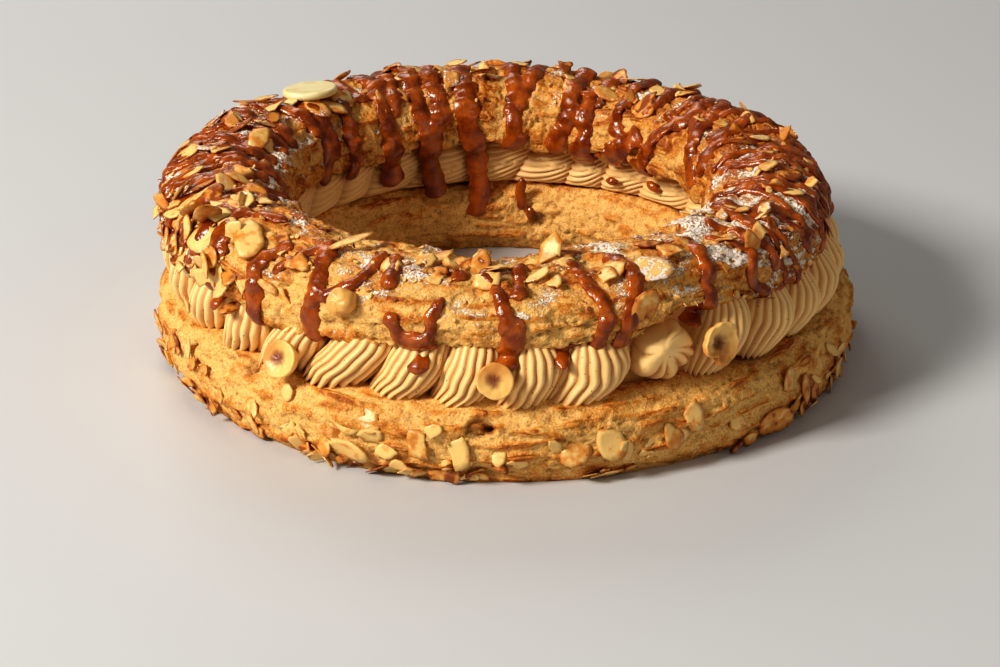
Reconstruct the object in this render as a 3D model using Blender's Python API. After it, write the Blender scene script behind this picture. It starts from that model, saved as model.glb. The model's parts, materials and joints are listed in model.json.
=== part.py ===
"""Paris-Brest: a ring of choux pastry, split level and filled with piped praline cream.

The ring lies flat on its underside, with the origin under its middle and +Z up.
All sizes are in metres and all angles in radians unless a name says degrees.
Azimuths are counted from +X towards +Y, and the show side faces -Y.
"""

import math
from dataclasses import dataclass

import bmesh
import bpy
import numpy as np
from mathutils import Matrix, Vector

TAU = 2.0 * math.pi

# Driving dimensions of the whole ring.
RING_RADIUS = 0.1400
RING_HEIGHT = 0.0770
GAP = 0.0003

# Lower choux ring: a fat tube, flat underneath and cut level on top.
BASE_MIDDLE = 0.1130
BASE_HALF_WIDTH = RING_RADIUS - BASE_MIDDLE
BASE_WIDEST = 0.0170
BASE_CUT = 0.0300
BASE_RISE = 0.0159
BASE_DROP = 0.0207
BASE_POWER = 2.4

# Upper choux ring: a dome laid on the cream, a little off centre.
LID_CENTRE = (-0.0040, 0.0010)
LID_MIDDLE = 0.1060
LID_HALF_WIDTH = 0.0245
LID_FLOOR = 0.0495
LID_WIDEST = 0.0570
LID_RISE = RING_HEIGHT - LID_WIDEST
LID_DROP = 0.0160
LID_POWER = 2.2
LID_DIP_AZIMUTH = math.radians(67.0)
LID_DIP_SPREAD = math.radians(13.0)
LID_DIP_DEPTH = 0.0035

CRUST_COLUMNS = 80
CRUST_ROWS = 13
CRUST_RIDGE = 0.0007
CRUST_RIDGE_COUNT = 5

# Piped cream: shells round the outside, scallops round the inside.
SHELLS = 36
SHELL_COLUMNS = 7
SCALLOP_COLUMNS = 9
CREAM_COLUMNS = SHELLS * SHELL_COLUMNS
CREAM_OUTER_ROWS = 5
CREAM_INNER_ROWS = 4
CREAM_OUTER_EDGE = 0.1300
CREAM_OUTER_SWELL = 0.0056
SHELL_CREASE = 0.0048
SHELL_RIDGE = 0.0006
SHELL_HOOK = math.radians(4.0)
CREAM_INNER_EDGE = 0.0905
CREAM_INNER_SWELL = 0.0035
SCALLOP_CREASE = 0.0030
SCALLOP_SLANT = math.radians(7.0)

DISC_DIAMETER = 0.0230
DISC_THICKNESS = 0.0030
TURNED_SEGMENTS = 16

GOLDEN_CRUST = (0.560, 0.290, 0.095, 1.0)
BROWNED_CRUST = (0.500, 0.235, 0.070, 1.0)
PRALINE = (0.600, 0.400, 0.215, 1.0)
HAZELNUT = (0.660, 0.420, 0.205, 1.0)
IVORY_CHOCOLATE = (0.830, 0.750, 0.500, 1.0)


@dataclass(frozen=True)
class Seat:
    """Where a small piece sits: its middle, and the way that its face looks."""

    azimuth_degrees: float
    radius: float
    height: float
    lift_degrees: float

    def matrix(self):
        """Turns a piece that faces +Z so that it faces outwards and up by the lift, then places it."""
        azimuth = math.radians(self.azimuth_degrees)
        lift = math.radians(self.lift_degrees)
        across = Vector((math.cos(azimuth), math.sin(azimuth), 0.0))
        outward = across * math.cos(lift) + Vector((0.0, 0.0, math.sin(lift)))
        place = across * self.radius + Vector((0.0, 0.0, self.height))
        return Matrix.Translation(place) @ outward.to_track_quat("Z", "Y").to_matrix().to_4x4()


@dataclass(frozen=True)
class NutHalf:
    """A split hazelnut: its name, its size across and through, and its seat."""

    name: str
    across: float
    depth: float
    hollow: float
    seat: Seat


CREAM_NUTS = (
    NutHalf("hazelnut_half_1", 0.0142, 0.0062, 0.0010, Seat(-126.7, 0.1362, 0.0372, 22.0)),
    NutHalf("hazelnut_half_2", 0.0134, 0.0062, 0.0010, Seat(-91.7, 0.1362, 0.0412, 12.0)),
    NutHalf("hazelnut_half_3", 0.0150, 0.0064, 0.0010, Seat(-55.7, 0.1362, 0.0455, 8.0)),
)
LID_NUT = NutHalf("hazelnut_lid", 0.0120, 0.0052, 0.0, Seat(-116.3, 0.1312, 0.0632, 22.0))
DISC_SEAT = Seat(140.0, 0.1065, 0.0793, 84.0)


def waves(angle, counts, phases, depths):
    """The sum of a few sine waves round the ring: the hand-made unevenness of one outline."""
    total = np.zeros_like(angle)
    for count, phase, depth in zip(counts, phases, depths):
        total += depth * np.sin(count * angle + phase)
    return total


def cut_height(angle):
    """Height of the level cut on the lower ring, where the cream stands."""
    return BASE_CUT + waves(angle, (2, 5), (0.4, 2.1), (0.0003, 0.0003))


def lid_height(angle):
    """Height of the lid's underside, where it rests on the cream."""
    return LID_FLOOR + waves(angle, (3, 4, 7), (1.0, 3.9, 0.3), (0.0004, 0.0004, 0.0003))


def oval_section(turn, middle, half_width, widest, rise, drop, power):
    """Radius and height of a superellipse section, with its own heights above and below the widest point."""
    across = np.sign(np.cos(turn)) * np.abs(np.cos(turn)) ** (2.0 / power)
    upward = np.sign(np.sin(turn)) * np.abs(np.sin(turn)) ** (2.0 / power)
    radius = middle + half_width * across
    height = widest + np.where(upward > 0.0, rise, drop) * upward
    return radius, height


def crust_grid():
    """Angles round the ring and round its section, as two arrays of rows by columns."""
    around = np.arange(CRUST_COLUMNS) * TAU / CRUST_COLUMNS
    turn = (np.arange(CRUST_ROWS) + 0.5) * TAU / CRUST_ROWS
    return np.meshgrid(around, turn, indexing="xy")


def crust_ridges(around, turn, phase):
    """Low ridges that run along the ring and wander over its section, as split choux does."""
    wander = waves(around, (2, 3, 6), (phase, 1.7 * phase, 0.6), (0.9, 0.6, 0.3))
    return CRUST_RIDGE * np.sin(CRUST_RIDGE_COUNT * turn + wander)


def base_points():
    """The lower ring: x, y and z of each point of its grid."""
    around, turn = crust_grid()
    width = BASE_HALF_WIDTH + crust_ridges(around, turn, 0.8)
    radius, height = oval_section(
        turn, BASE_MIDDLE, width, BASE_WIDEST, BASE_RISE, BASE_DROP, BASE_POWER
    )
    radius += waves(around, (3, 7, 11), (0.3, 2.0, 4.4), (0.0004, 0.0003, 0.0002))
    height = np.clip(height, 0.0, cut_height(around))
    return radius * np.cos(around), radius * np.sin(around), height


def lid_points():
    """The upper ring: x, y and z of each point of its grid."""
    around, turn = crust_grid()
    width = LID_HALF_WIDTH + crust_ridges(around, turn, 2.6)
    width += waves(around, (4, 9, 13), (0.9, 0.2, 5.0), (0.0006, 0.0006, 0.0004))
    rise = LID_RISE + waves(around, (2, 5, 8), (1.2, 0.7, 3.3), (0.0005, 0.0006, 0.0004))
    rise -= LID_DIP_DEPTH * np.exp(-(((around - LID_DIP_AZIMUTH) / LID_DIP_SPREAD) ** 2))
    radius, height = oval_section(
        turn, LID_MIDDLE, width, LID_WIDEST, rise, LID_DROP, LID_POWER
    )
    radius += waves(around, (3, 5), (4.0, 1.1), (0.0007, 0.0005))
    height = np.maximum(height, lid_height(around) + GAP)
    x = LID_CENTRE[0] + radius * np.cos(around)
    y = LID_CENTRE[1] + radius * np.sin(around)
    return x, y, height


def lobe(column, columns_each):
    """0 in the crease between two piped lobes and 1 over the middle of a lobe."""
    share = (column % columns_each + 0.5) / columns_each
    return np.sin(math.pi * share) ** 0.6


def cream_side(column, climb, edge, swell, crease, columns_each):
    """Radius of one side of the cream: it swells between its two edges and is creased between its lobes."""
    rounding = np.sin(math.pi * climb ** 0.85) ** 0.8
    creased = crease * (1.0 - lobe(column, columns_each)) * (0.35 + 0.65 * rounding)
    return edge + swell * rounding - np.sign(swell) * creased


def cream_points():
    """The piped cream: x, y and z of each point of its grid, up its outside and down its inside."""
    column = np.arange(CREAM_COLUMNS)[None, :]
    climb_out = np.linspace(0.0, 1.0, CREAM_OUTER_ROWS)[:, None]
    climb_in = np.linspace(1.0, 0.0, CREAM_INNER_ROWS)[:, None]
    outer = cream_side(
        column, climb_out, CREAM_OUTER_EDGE, CREAM_OUTER_SWELL, SHELL_CREASE, SHELL_COLUMNS
    )
    outer += SHELL_RIDGE * np.where(column % SHELL_COLUMNS % 2 == 0, 1.0, -1.0)
    inner = cream_side(
        column, climb_in, CREAM_INNER_EDGE, -CREAM_INNER_SWELL, SCALLOP_CREASE, SCALLOP_COLUMNS
    )
    around = column * TAU / CREAM_COLUMNS
    around_out = around - SHELL_HOOK * (1.0 - climb_out) ** 2
    around_in = around - SCALLOP_SLANT * (1.0 - climb_in)
    angle = np.concatenate((around_out, around_in + np.zeros_like(inner)))
    radius = np.concatenate((outer, inner))
    climb = np.concatenate((climb_out, climb_in)) + np.zeros_like(angle)
    bottom = cut_height(angle) + GAP
    height = bottom + climb * (lid_height(angle) - bottom)
    return radius * np.cos(angle), radius * np.sin(angle), height


def ring_mesh(name, points):
    """A closed ring from a grid of points that wraps both ways, with its faces outwards."""
    rows, columns = points[0].shape
    vertices = np.stack([axis.ravel() for axis in points], axis=-1)
    row, column = np.meshgrid(np.arange(rows), np.arange(columns), indexing="ij")
    next_row = (row + 1) % rows
    next_column = (column + 1) % columns
    corners = (
        row * columns + column,
        row * columns + next_column,
        next_row * columns + next_column,
        next_row * columns + column,
    )
    faces = np.stack([corner.ravel() for corner in corners], axis=-1)
    mesh = bpy.data.meshes.new(name)
    mesh.from_pydata(vertices.tolist(), [], faces.tolist())
    return mesh


def turned_mesh(name, outline):
    """A solid turned about Z from an outline of (radius, height) that starts and ends on the axis."""
    form = bmesh.new()
    corners = [form.verts.new((radius, 0.0, height)) for radius, height in outline]
    edges = [form.edges.new(pair) for pair in zip(corners, corners[1:])]
    bmesh.ops.spin(
        form,
        geom=corners + edges,
        cent=(0.0, 0.0, 0.0),
        axis=(0.0, 0.0, 1.0),
        angle=TAU,
        steps=TURNED_SEGMENTS,
    )
    bmesh.ops.remove_doubles(form, verts=form.verts, dist=1e-6)
    bmesh.ops.recalc_face_normals(form, faces=form.faces)
    mesh = bpy.data.meshes.new(name)
    form.to_mesh(mesh)
    form.free()
    return mesh


def nut_outline(across, depth, hollow):
    """Outline of a split nut: its hollowed cut face, its rounded rim and its domed back."""
    half = across / 2.0
    outline = [(0.0, -hollow), (0.30 * half, -0.8 * hollow), (0.62 * half, 0.0)]
    rim = [(0.90 * half, 0.0), (half, -0.16 * depth)]
    steps = 3
    for step in range(1, steps):
        bend = 0.5 * math.pi * step / steps
        rim.append((half * math.cos(bend), -depth * (0.16 + 0.84 * math.sin(bend))))
    return outline + rim + [(0.0, -depth)]


def dome_outline(across, depth):
    """Outline of a nut half that lies on its cut face: a dome above a flat back."""
    half = across / 2.0
    steps = 4
    outline = [(0.0, 0.5 * depth)]
    for step in range(1, steps):
        bend = 0.5 * math.pi * step / steps
        outline.append((half * math.sin(bend), depth * (math.cos(bend) - 0.5)))
    return outline + [(half, -0.5 * depth), (0.0, -0.5 * depth)]


def disc_outline(across, thickness):
    """Outline of a poured chocolate disc with a full round rim."""
    steps = 4
    bulge = 0.5 * thickness
    outline = [(0.0, bulge)]
    for step in range(steps + 1):
        bend = math.pi * step / steps
        outline.append((across / 2.0 - bulge + bulge * math.sin(bend), bulge * math.cos(bend)))
    return outline + [(0.0, -bulge)]


def finish_of(name, colour, roughness):
    """A plain material for one sub-part."""
    material = bpy.data.materials.new(name)
    material.use_nodes = True
    shader = material.node_tree.nodes["Principled BSDF"]
    shader.inputs["Base Color"].default_value = colour
    shader.inputs["Roughness"].default_value = roughness
    shader.inputs["Metallic"].default_value = 0.0
    return material


def add_part(name, mesh, material, placed=None):
    """Links one named sub-part, smooth shaded, at its place."""
    mesh.materials.append(material)
    mesh.shade_smooth()
    part = bpy.data.objects.new(name, mesh)
    bpy.context.scene.collection.objects.link(part)
    if placed is not None:
        part.matrix_world = placed
    return part


def press_into(host, piece, across):
    """Cuts a pocket in the host that leaves the usual gap all round a piece pressed into it."""
    growth = 1.0 + 2.0 * GAP / across
    cutter = bpy.data.objects.new(piece.name + "_pocket", piece.data.copy())
    bpy.context.scene.collection.objects.link(cutter)
    swell = Matrix.Diagonal((growth, growth, growth, 1.0))
    middle = sum((Vector(corner) for corner in piece.bound_box), Vector()) / 8.0
    about_middle = Matrix.Translation(middle) @ swell @ Matrix.Translation(-middle)
    cutter.data.transform(about_middle)
    cutter.matrix_world = piece.matrix_world
    cutter.hide_render = True
    cutter.display_type = "WIRE"
    cut = host.modifiers.new(cutter.name, "BOOLEAN")
    cut.operation = "DIFFERENCE"
    cut.solver = "EXACT"
    cut.object = cutter


def build():
    """Makes every sub-part of the ring."""
    for old in list(bpy.data.objects):
        bpy.data.objects.remove(old, do_unlink=True)

    crust = finish_of("golden_crust", GOLDEN_CRUST, 0.60)
    browned = finish_of("browned_crust", BROWNED_CRUST, 0.55)
    praline = finish_of("praline", PRALINE, 0.50)
    nut = finish_of("roasted_hazelnut", HAZELNUT, 0.50)
    ivory = finish_of("ivory_chocolate", IVORY_CHOCOLATE, 0.35)

    add_part("choux_base", ring_mesh("choux_base", base_points()), crust)
    cream = add_part("praline_cream", ring_mesh("praline_cream", cream_points()), praline)
    lid = add_part("choux_lid", ring_mesh("choux_lid", lid_points()), browned)

    for half in CREAM_NUTS:
        mesh = turned_mesh(half.name, nut_outline(half.across, half.depth, half.hollow))
        piece = add_part(half.name, mesh, nut, half.seat.matrix())
        bpy.context.view_layer.update()
        press_into(cream, piece, half.depth)

    mesh = turned_mesh(LID_NUT.name, dome_outline(LID_NUT.across, LID_NUT.depth))
    piece = add_part(LID_NUT.name, mesh, nut, LID_NUT.seat.matrix())
    bpy.context.view_layer.update()
    press_into(lid, piece, LID_NUT.depth)

    mesh = turned_mesh("chocolate_disc", disc_outline(DISC_DIAMETER, DISC_THICKNESS))
    disc = add_part("chocolate_disc", mesh, ivory, DISC_SEAT.matrix())
    bpy.context.view_layer.update()
    press_into(lid, disc, DISC_THICKNESS)


build()
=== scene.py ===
"""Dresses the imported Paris-Brest: choux crust, piped praline cream, caramel, almonds, nuts and sugar.

Everything is in metres in the frame's own axes: +Z up, the ring's hole on Z, the show side facing -Y.
Azimuths are counted from +X towards +Y. A "share" runs from 0 to 1.
"""

from __future__ import annotations

import json
import logging
import math
from dataclasses import dataclass
from enum import Enum
from typing import Any, Callable, Sequence

import bpy
import numpy as np
from mathutils import Matrix, Vector

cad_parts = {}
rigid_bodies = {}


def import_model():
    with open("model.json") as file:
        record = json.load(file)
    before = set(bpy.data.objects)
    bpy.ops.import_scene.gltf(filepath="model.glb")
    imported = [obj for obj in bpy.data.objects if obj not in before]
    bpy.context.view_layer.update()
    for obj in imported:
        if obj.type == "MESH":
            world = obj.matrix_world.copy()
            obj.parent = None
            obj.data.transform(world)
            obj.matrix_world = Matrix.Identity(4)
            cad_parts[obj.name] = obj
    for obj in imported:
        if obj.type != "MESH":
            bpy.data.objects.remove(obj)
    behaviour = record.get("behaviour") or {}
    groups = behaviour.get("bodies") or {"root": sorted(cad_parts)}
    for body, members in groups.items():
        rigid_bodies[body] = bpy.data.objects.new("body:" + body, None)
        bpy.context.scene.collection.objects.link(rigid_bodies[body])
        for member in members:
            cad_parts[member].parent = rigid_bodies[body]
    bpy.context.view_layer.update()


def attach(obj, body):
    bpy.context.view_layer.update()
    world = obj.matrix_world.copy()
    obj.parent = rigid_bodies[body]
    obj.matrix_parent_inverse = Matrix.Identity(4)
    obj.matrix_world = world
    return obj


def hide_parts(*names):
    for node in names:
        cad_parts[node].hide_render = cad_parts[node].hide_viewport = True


LOG = logging.getLogger("paris_brest")
TAU = 2.0 * math.pi
MM = 0.001
ROOT = "root"

Array = np.ndarray
Colour = tuple[float, float, float]


# ---------------------------------------------------------------------------
# Numbers: blends and noise on sheets that wrap both ways
# ---------------------------------------------------------------------------


def tint(red: int, green: int, blue: int) -> Colour:
    """Linear colour of a display colour given in steps of 255, by the usual display curve.

    Args:
        red: red step.
        green: green step.
        blue: blue step.

    Returns:
        The three linear channels.
    """
    steps = [channel / 255.0 for channel in (red, green, blue)]
    linear = [s / 12.92 if s <= 0.04045 else ((s + 0.055) / 1.055) ** 2.4 for s in steps]
    return linear[0], linear[1], linear[2]


def ease(value: Array, low: float, high: float) -> Array:
    """The smooth step 3t^2 - 2t^3, where t is the value's clipped share of the way from low to high.

    Args:
        value: what is compared with the two ends.
        low: the value that gives 0.
        high: the value that gives 1; it may be below low.

    Returns:
        The eased share.
    """
    share = np.clip((value - low) / (high - low), 0.0, 1.0)
    return share * share * (3.0 - 2.0 * share)


def bell(value: Array, width: float) -> Array:
    """The bell curve exp(-(value / width)^2)."""
    return np.exp(-((value / width) ** 2))


def turned_gap(angle: Array, centre: float) -> Array:
    """The signed angle from a centre, wrapped to half a turn either way."""
    return (angle - centre + math.pi) % TAU - math.pi


def waves(angle: Array, counts: Sequence[int], phases: Sequence[float], depths: Sequence[float]) -> Array:
    """The sum of depth * sin(count * angle + phase): the hand-made unevenness of a ring's outline.

    Args:
        angle: azimuths in radians.
        counts: how many times each wave goes round.
        phases: where each wave starts.
        depths: each wave's height in metres.

    Returns:
        The summed wave at each azimuth.
    """
    total = np.zeros_like(angle)
    for count, phase, depth in zip(counts, phases, depths):
        total = total + depth * np.sin(count * angle + phase)
    return total


def wrapped_noise(u: Array, v: Array, cells_u: int, cells_v: int, seed: int) -> Array:
    """Gradient noise on a sheet that wraps both ways, from about -1 to 1.

    Each lattice corner holds a random direction. A point takes the dot product of each of its four corners'
    directions with its offset from that corner, and blends them by 6t^5 - 15t^4 + 10t^3.

    Args:
        u: shares along the first way.
        v: shares along the second way.
        cells_u: lattice cells along the first way.
        cells_v: lattice cells along the second way.
        seed: seed of the corner directions.

    Returns:
        The noise at each point.
    """
    angles = np.random.default_rng(seed).uniform(0.0, TAU, (cells_u, cells_v))
    east, north = np.cos(angles), np.sin(angles)
    x, y = (u % 1.0) * cells_u, (v % 1.0) * cells_v
    column, row = np.floor(x).astype(int), np.floor(y).astype(int)
    dx, dy = x - column, y - row
    blend_x = dx**3 * (dx * (dx * 6.0 - 15.0) + 10.0)
    blend_y = dy**3 * (dy * (dy * 6.0 - 15.0) + 10.0)

    def corner(step_x: int, step_y: int) -> Array:
        """One corner's direction dotted with the offset from it."""
        at = (column + step_x) % cells_u, (row + step_y) % cells_v
        return east[at] * (dx - step_x) + north[at] * (dy - step_y)

    low = corner(0, 0) * (1.0 - blend_x) + corner(1, 0) * blend_x
    high = corner(0, 1) * (1.0 - blend_x) + corner(1, 1) * blend_x
    return 1.5 * (low * (1.0 - blend_y) + high * blend_y)


def layered_noise(u: Array, v: Array, cells_u: int, cells_v: int, seed: int, layers: int = 3) -> Array:
    """Wrapped noise added up over layers, each twice as fine and half as strong as the last."""
    total = np.zeros(np.broadcast(u, v).shape)
    for layer in range(layers):
        scale = 2**layer
        total = total + wrapped_noise(u, v, cells_u * scale, cells_v * scale, seed + layer) / scale
    return total


def wrapped_cells(u: Array, v: Array, cells_u: int, cells_v: int, seed: int) -> tuple[Array, Array]:
    """Distance, in cells, to the nearest of one random point per cell, and that point's own random share.

    Args:
        u: shares along the first way.
        v: shares along the second way.
        cells_u: cells along the first way.
        cells_v: cells along the second way.
        seed: seed of the points.

    Returns:
        The distance and the share of the nearest point.
    """
    source = np.random.default_rng(seed)
    jitter_x, jitter_y = source.random((2, cells_u, cells_v))
    share = source.random((cells_u, cells_v))
    x, y = (u % 1.0) * cells_u, (v % 1.0) * cells_v
    column, row = np.floor(x).astype(int), np.floor(y).astype(int)
    nearest = np.full(x.shape, 9.0)
    picked = np.zeros(x.shape)
    for step_x in (-1, 0, 1):
        for step_y in (-1, 0, 1):
            at = (column + step_x) % cells_u, (row + step_y) % cells_v
            away = np.hypot(
                column + step_x + jitter_x[at] - x,
                row + step_y + jitter_y[at] - y,
            )
            picked = np.where(away < nearest, share[at], picked)
            nearest = np.minimum(nearest, away)
    return nearest, picked


# ---------------------------------------------------------------------------
# Meshes from grids
# ---------------------------------------------------------------------------


@dataclass
class Sheet:
    """A sampled surface: points in rows across the ring's section by columns round the ring."""

    points: Array
    rows_wrap: bool = True

    def normals(self) -> Array:
        """Unit normals: the cross product of the steps round the ring and across its section."""
        around = np.roll(self.points, -1, axis=1) - np.roll(self.points, 1, axis=1)
        if self.rows_wrap:
            across = np.roll(self.points, -1, axis=0) - np.roll(self.points, 1, axis=0)
        else:
            across = np.gradient(self.points, axis=0)
        normal = np.cross(around, across)
        return normal / np.maximum(np.linalg.norm(normal, axis=-1, keepdims=True), 1e-12)

    def pushed(self, depth: Array) -> Sheet:
        """The sheet moved along its normals by a depth for each point."""
        return Sheet(self.points + self.normals() * depth[..., None], self.rows_wrap)

    def sample(self, grid: Array, row: Array, turn: Array) -> Array:
        """Values of a grid between its points, by blending the four around each place.

        Args:
            grid: values in rows by columns by channels.
            row: places counted in rows.
            turn: azimuths in radians.

        Returns:
            One value for each place.
        """
        rows, columns = grid.shape[:2]
        place = (turn / TAU % 1.0) * columns
        column = np.floor(place).astype(int)
        if not self.rows_wrap:
            row = np.clip(row, 0.0, rows - 1.001)
        line = np.floor(row).astype(int)
        part_x, part_y = (place - column)[..., None], (row - line)[..., None]
        near = grid[line % rows, column % columns] * (1.0 - part_x)
        near = near + grid[line % rows, (column + 1) % columns] * part_x
        far = grid[(line + 1) % rows, column % columns] * (1.0 - part_x)
        far = far + grid[(line + 1) % rows, (column + 1) % columns] * part_x
        return near * (1.0 - part_y) + far * part_y


def link_mesh(
    name: str,
    vertices: Array,
    faces: Array,
    fields: dict[str, Array] | None = None,
    sharp: Array | None = None,
) -> bpy.types.Object:
    """Makes a smooth mesh object at the origin from vertices, equal-sided faces and point values.

    Args:
        name: the piece's name.
        vertices: points by three.
        faces: faces by corners.
        fields: point attributes by name.
        sharp: which faces are shaded flat.

    Returns:
        The linked object.
    """
    mesh = bpy.data.meshes.new(name)
    count, corners = faces.shape
    mesh.vertices.add(len(vertices))
    mesh.vertices.foreach_set("co", np.ascontiguousarray(vertices, np.float32).ravel())
    mesh.loops.add(count * corners)
    mesh.loops.foreach_set("vertex_index", np.ascontiguousarray(faces, np.int32).ravel())
    mesh.polygons.add(count)
    mesh.polygons.foreach_set("loop_start", np.arange(count, dtype=np.int32) * corners)
    mesh.update(calc_edges=True)
    mesh.validate()
    for field_name, values in (fields or {}).items():
        attribute = mesh.attributes.new(field_name, "FLOAT", "POINT")
        attribute.data.foreach_set("value", np.ascontiguousarray(values, np.float32).ravel())
    mesh.shade_smooth()
    if sharp is not None:
        mesh.polygons.foreach_set("use_smooth", ~sharp)
    piece = bpy.data.objects.new(name, mesh)
    bpy.context.scene.collection.objects.link(piece)
    return piece


def ring_faces(rows: int, columns: int) -> Array:
    """Quads of a grid that wraps both ways, with their faces outwards."""
    row, column = np.meshgrid(np.arange(rows), np.arange(columns), indexing="ij")
    next_row, next_column = (row + 1) % rows, (column + 1) % columns
    corners = (
        row * columns + column,
        row * columns + next_column,
        next_row * columns + next_column,
        next_row * columns + column,
    )
    return np.stack([corner.ravel() for corner in corners], axis=-1)


def ring_piece(name: str, sheet: Sheet, fields: dict[str, Array] | None = None) -> bpy.types.Object:
    """A closed ring from a sheet that wraps both ways."""
    rows, columns = sheet.points.shape[:2]
    return link_mesh(name, sheet.points.reshape(-1, 3), ring_faces(rows, columns), fields)


def capped_faces(rows: int, columns: int) -> Array:
    """Triangles of a closed form: rings of points between a first and a last pole.

    Vertex 0 is the first pole, then come the rings, and the last vertex is the other pole.
    """
    row, column = np.meshgrid(np.arange(rows - 1), np.arange(columns), indexing="ij")
    here = 1 + row * columns + column
    beside = 1 + row * columns + (column + 1) % columns
    body = np.concatenate(
        [
            np.stack([here, here + columns, beside], -1).reshape(-1, 3),
            np.stack([beside, here + columns, beside + columns], -1).reshape(-1, 3),
        ]
    )
    ring = np.arange(columns)
    first = np.stack([np.zeros_like(ring), 1 + ring, 1 + (ring + 1) % columns], -1)
    last_ring = 1 + (rows - 1) * columns
    end = np.full_like(ring, last_ring + columns)
    last = np.stack([end, last_ring + (ring + 1) % columns, last_ring + ring], -1)
    return np.concatenate([first, body, last])


def dress(piece: bpy.types.Object, material: bpy.types.Material, slot: str, *nodes: str) -> bpy.types.Object:
    """Gives a piece its material, its body and the nodes that it stands for."""
    piece.data.materials.clear()
    piece.data.materials.append(material)
    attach(piece, ROOT)
    if nodes:
        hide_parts(*nodes)
    LOG.info("%s: %d faces", piece.name, len(piece.data.polygons))
    return piece


# ---------------------------------------------------------------------------
# Shader maths
# ---------------------------------------------------------------------------


class Wire:
    """A socket that takes part in Python expressions: each operator adds a Math node."""

    def __init__(self, bench: Bench, socket: bpy.types.NodeSocket) -> None:
        """Keeps the bench that adds nodes, and the socket."""
        self.bench = bench
        self.socket = socket

    def _math(self, operation: str, *values: Any) -> Wire:
        """Adds one Math node."""
        return self.bench.add("ShaderNodeMath", {"operation": operation}, dict(enumerate(values)))

    def __add__(self, other: Any) -> Wire:
        """Sum."""
        return self._math("ADD", self, other)

    __radd__ = __add__

    def __mul__(self, other: Any) -> Wire:
        """Product."""
        return self._math("MULTIPLY", self, other)

    __rmul__ = __mul__

    def __sub__(self, other: Any) -> Wire:
        """Difference."""
        return self._math("SUBTRACT", self, other)

    def __rsub__(self, other: Any) -> Wire:
        """Difference from a number."""
        return self._math("SUBTRACT", other, self)

    def __pow__(self, other: Any) -> Wire:
        """Power."""
        return self._math("POWER", self, other)

    def sine(self) -> Wire:
        """Sine of the value in radians."""
        return self._math("SINE", self)

    def clipped(self) -> Wire:
        """The value held between 0 and 1."""
        return self.bench.add("ShaderNodeClamp", {}, {"Value": self})

    def eased(self, low: float, high: float) -> Wire:
        """A smooth step from low to high."""
        return self.bench.add(
            "ShaderNodeMapRange",
            {"interpolation_type": "SMOOTHSTEP"},
            {"Value": self, "From Min": low, "From Max": high},
        )


class Bench:
    """Builds one material's nodes round its Principled shader."""

    def __init__(self, name: str) -> None:
        """Starts a material whose only nodes are the shader and its output."""
        self.material = bpy.data.materials.new(name)
        self.material.use_nodes = True
        self.tree = self.material.node_tree
        self.shader = self.tree.nodes["Principled BSDF"]

    def add(self, kind: str, settings: dict[str, Any], sockets: dict[Any, Any], out: Any = 0) -> Wire:
        """Adds one node: its settings first, then the values or links of its sockets.

        Args:
            kind: the node's type.
            settings: the node's own properties.
            sockets: a value or a Wire for each named or numbered input.
            out: which output to return.

        Returns:
            The chosen output.
        """
        node = self.tree.nodes.new(kind)
        for key, value in settings.items():
            setattr(node, key, value)
        for key, value in sockets.items():
            self.plug(node.inputs[key], value)
        return Wire(self, node.outputs[out])

    def plug(self, socket: bpy.types.NodeSocket, value: Any) -> None:
        """Links a Wire to a socket, or sets the socket's own value."""
        if isinstance(value, Wire):
            self.tree.links.new(value.socket, socket)
        elif isinstance(value, tuple) and socket.type == "RGBA" and len(value) == 3:
            socket.default_value = (*value, 1.0)
        else:
            socket.default_value = value

    def set(self, **values: Any) -> None:
        """Sets or links the shader's inputs; underscores stand for spaces."""
        for key, value in values.items():
            self.plug(self.shader.inputs[key.replace("_", " ")], value)

    def place(self) -> Wire:
        """The point's own place on its object, in metres."""
        return self.add("ShaderNodeTexCoord", {}, {}, "Object")

    def field(self, name: str) -> Wire:
        """A point attribute of the mesh."""
        return self.add("ShaderNodeAttribute", {"attribute_name": name}, {}, "Fac")

    def noise(self, grain: float, detail: float = 3.0, stretch: tuple[float, float, float] | None = None) -> Wire:
        """Noise whose spots are about grain metres across, about 0.5 on average."""
        place = self.place()
        if stretch is not None:
            place = self.add("ShaderNodeMapping", {}, {"Vector": place, "Scale": stretch})
        sockets = {"Vector": place, "Scale": 1.0 / grain, "Detail": detail}
        return self.add("ShaderNodeTexNoise", {}, sockets, 0)

    def cells(self, grain: float, feature: str = "F1") -> Wire:
        """Distance to the nearest of scattered points about grain metres apart."""
        sockets = {"Vector": self.place(), "Scale": 1.0 / grain}
        return self.add("ShaderNodeTexVoronoi", {"feature": feature}, sockets, "Distance")

    def mix(self, share: Any, first: Any, second: Any) -> Wire:
        """A colour between two, by a share."""
        sockets = {0: share, 6: first, 7: second}
        return self.add("ShaderNodeMix", {"data_type": "RGBA", "clamp_factor": True}, sockets, 2)

    def bump(self, height: Wire, depth: float, under: Wire | None = None) -> Wire:
        """A normal raised by a height of 0 to 1 over a depth in metres."""
        sockets: dict[Any, Any] = {"Height": height, "Distance": depth, "Strength": 1.0}
        if under is not None:
            sockets["Normal"] = under
        return self.add("ShaderNodeBump", {}, sockets)


# ---------------------------------------------------------------------------
# Finishes
# ---------------------------------------------------------------------------


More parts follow.
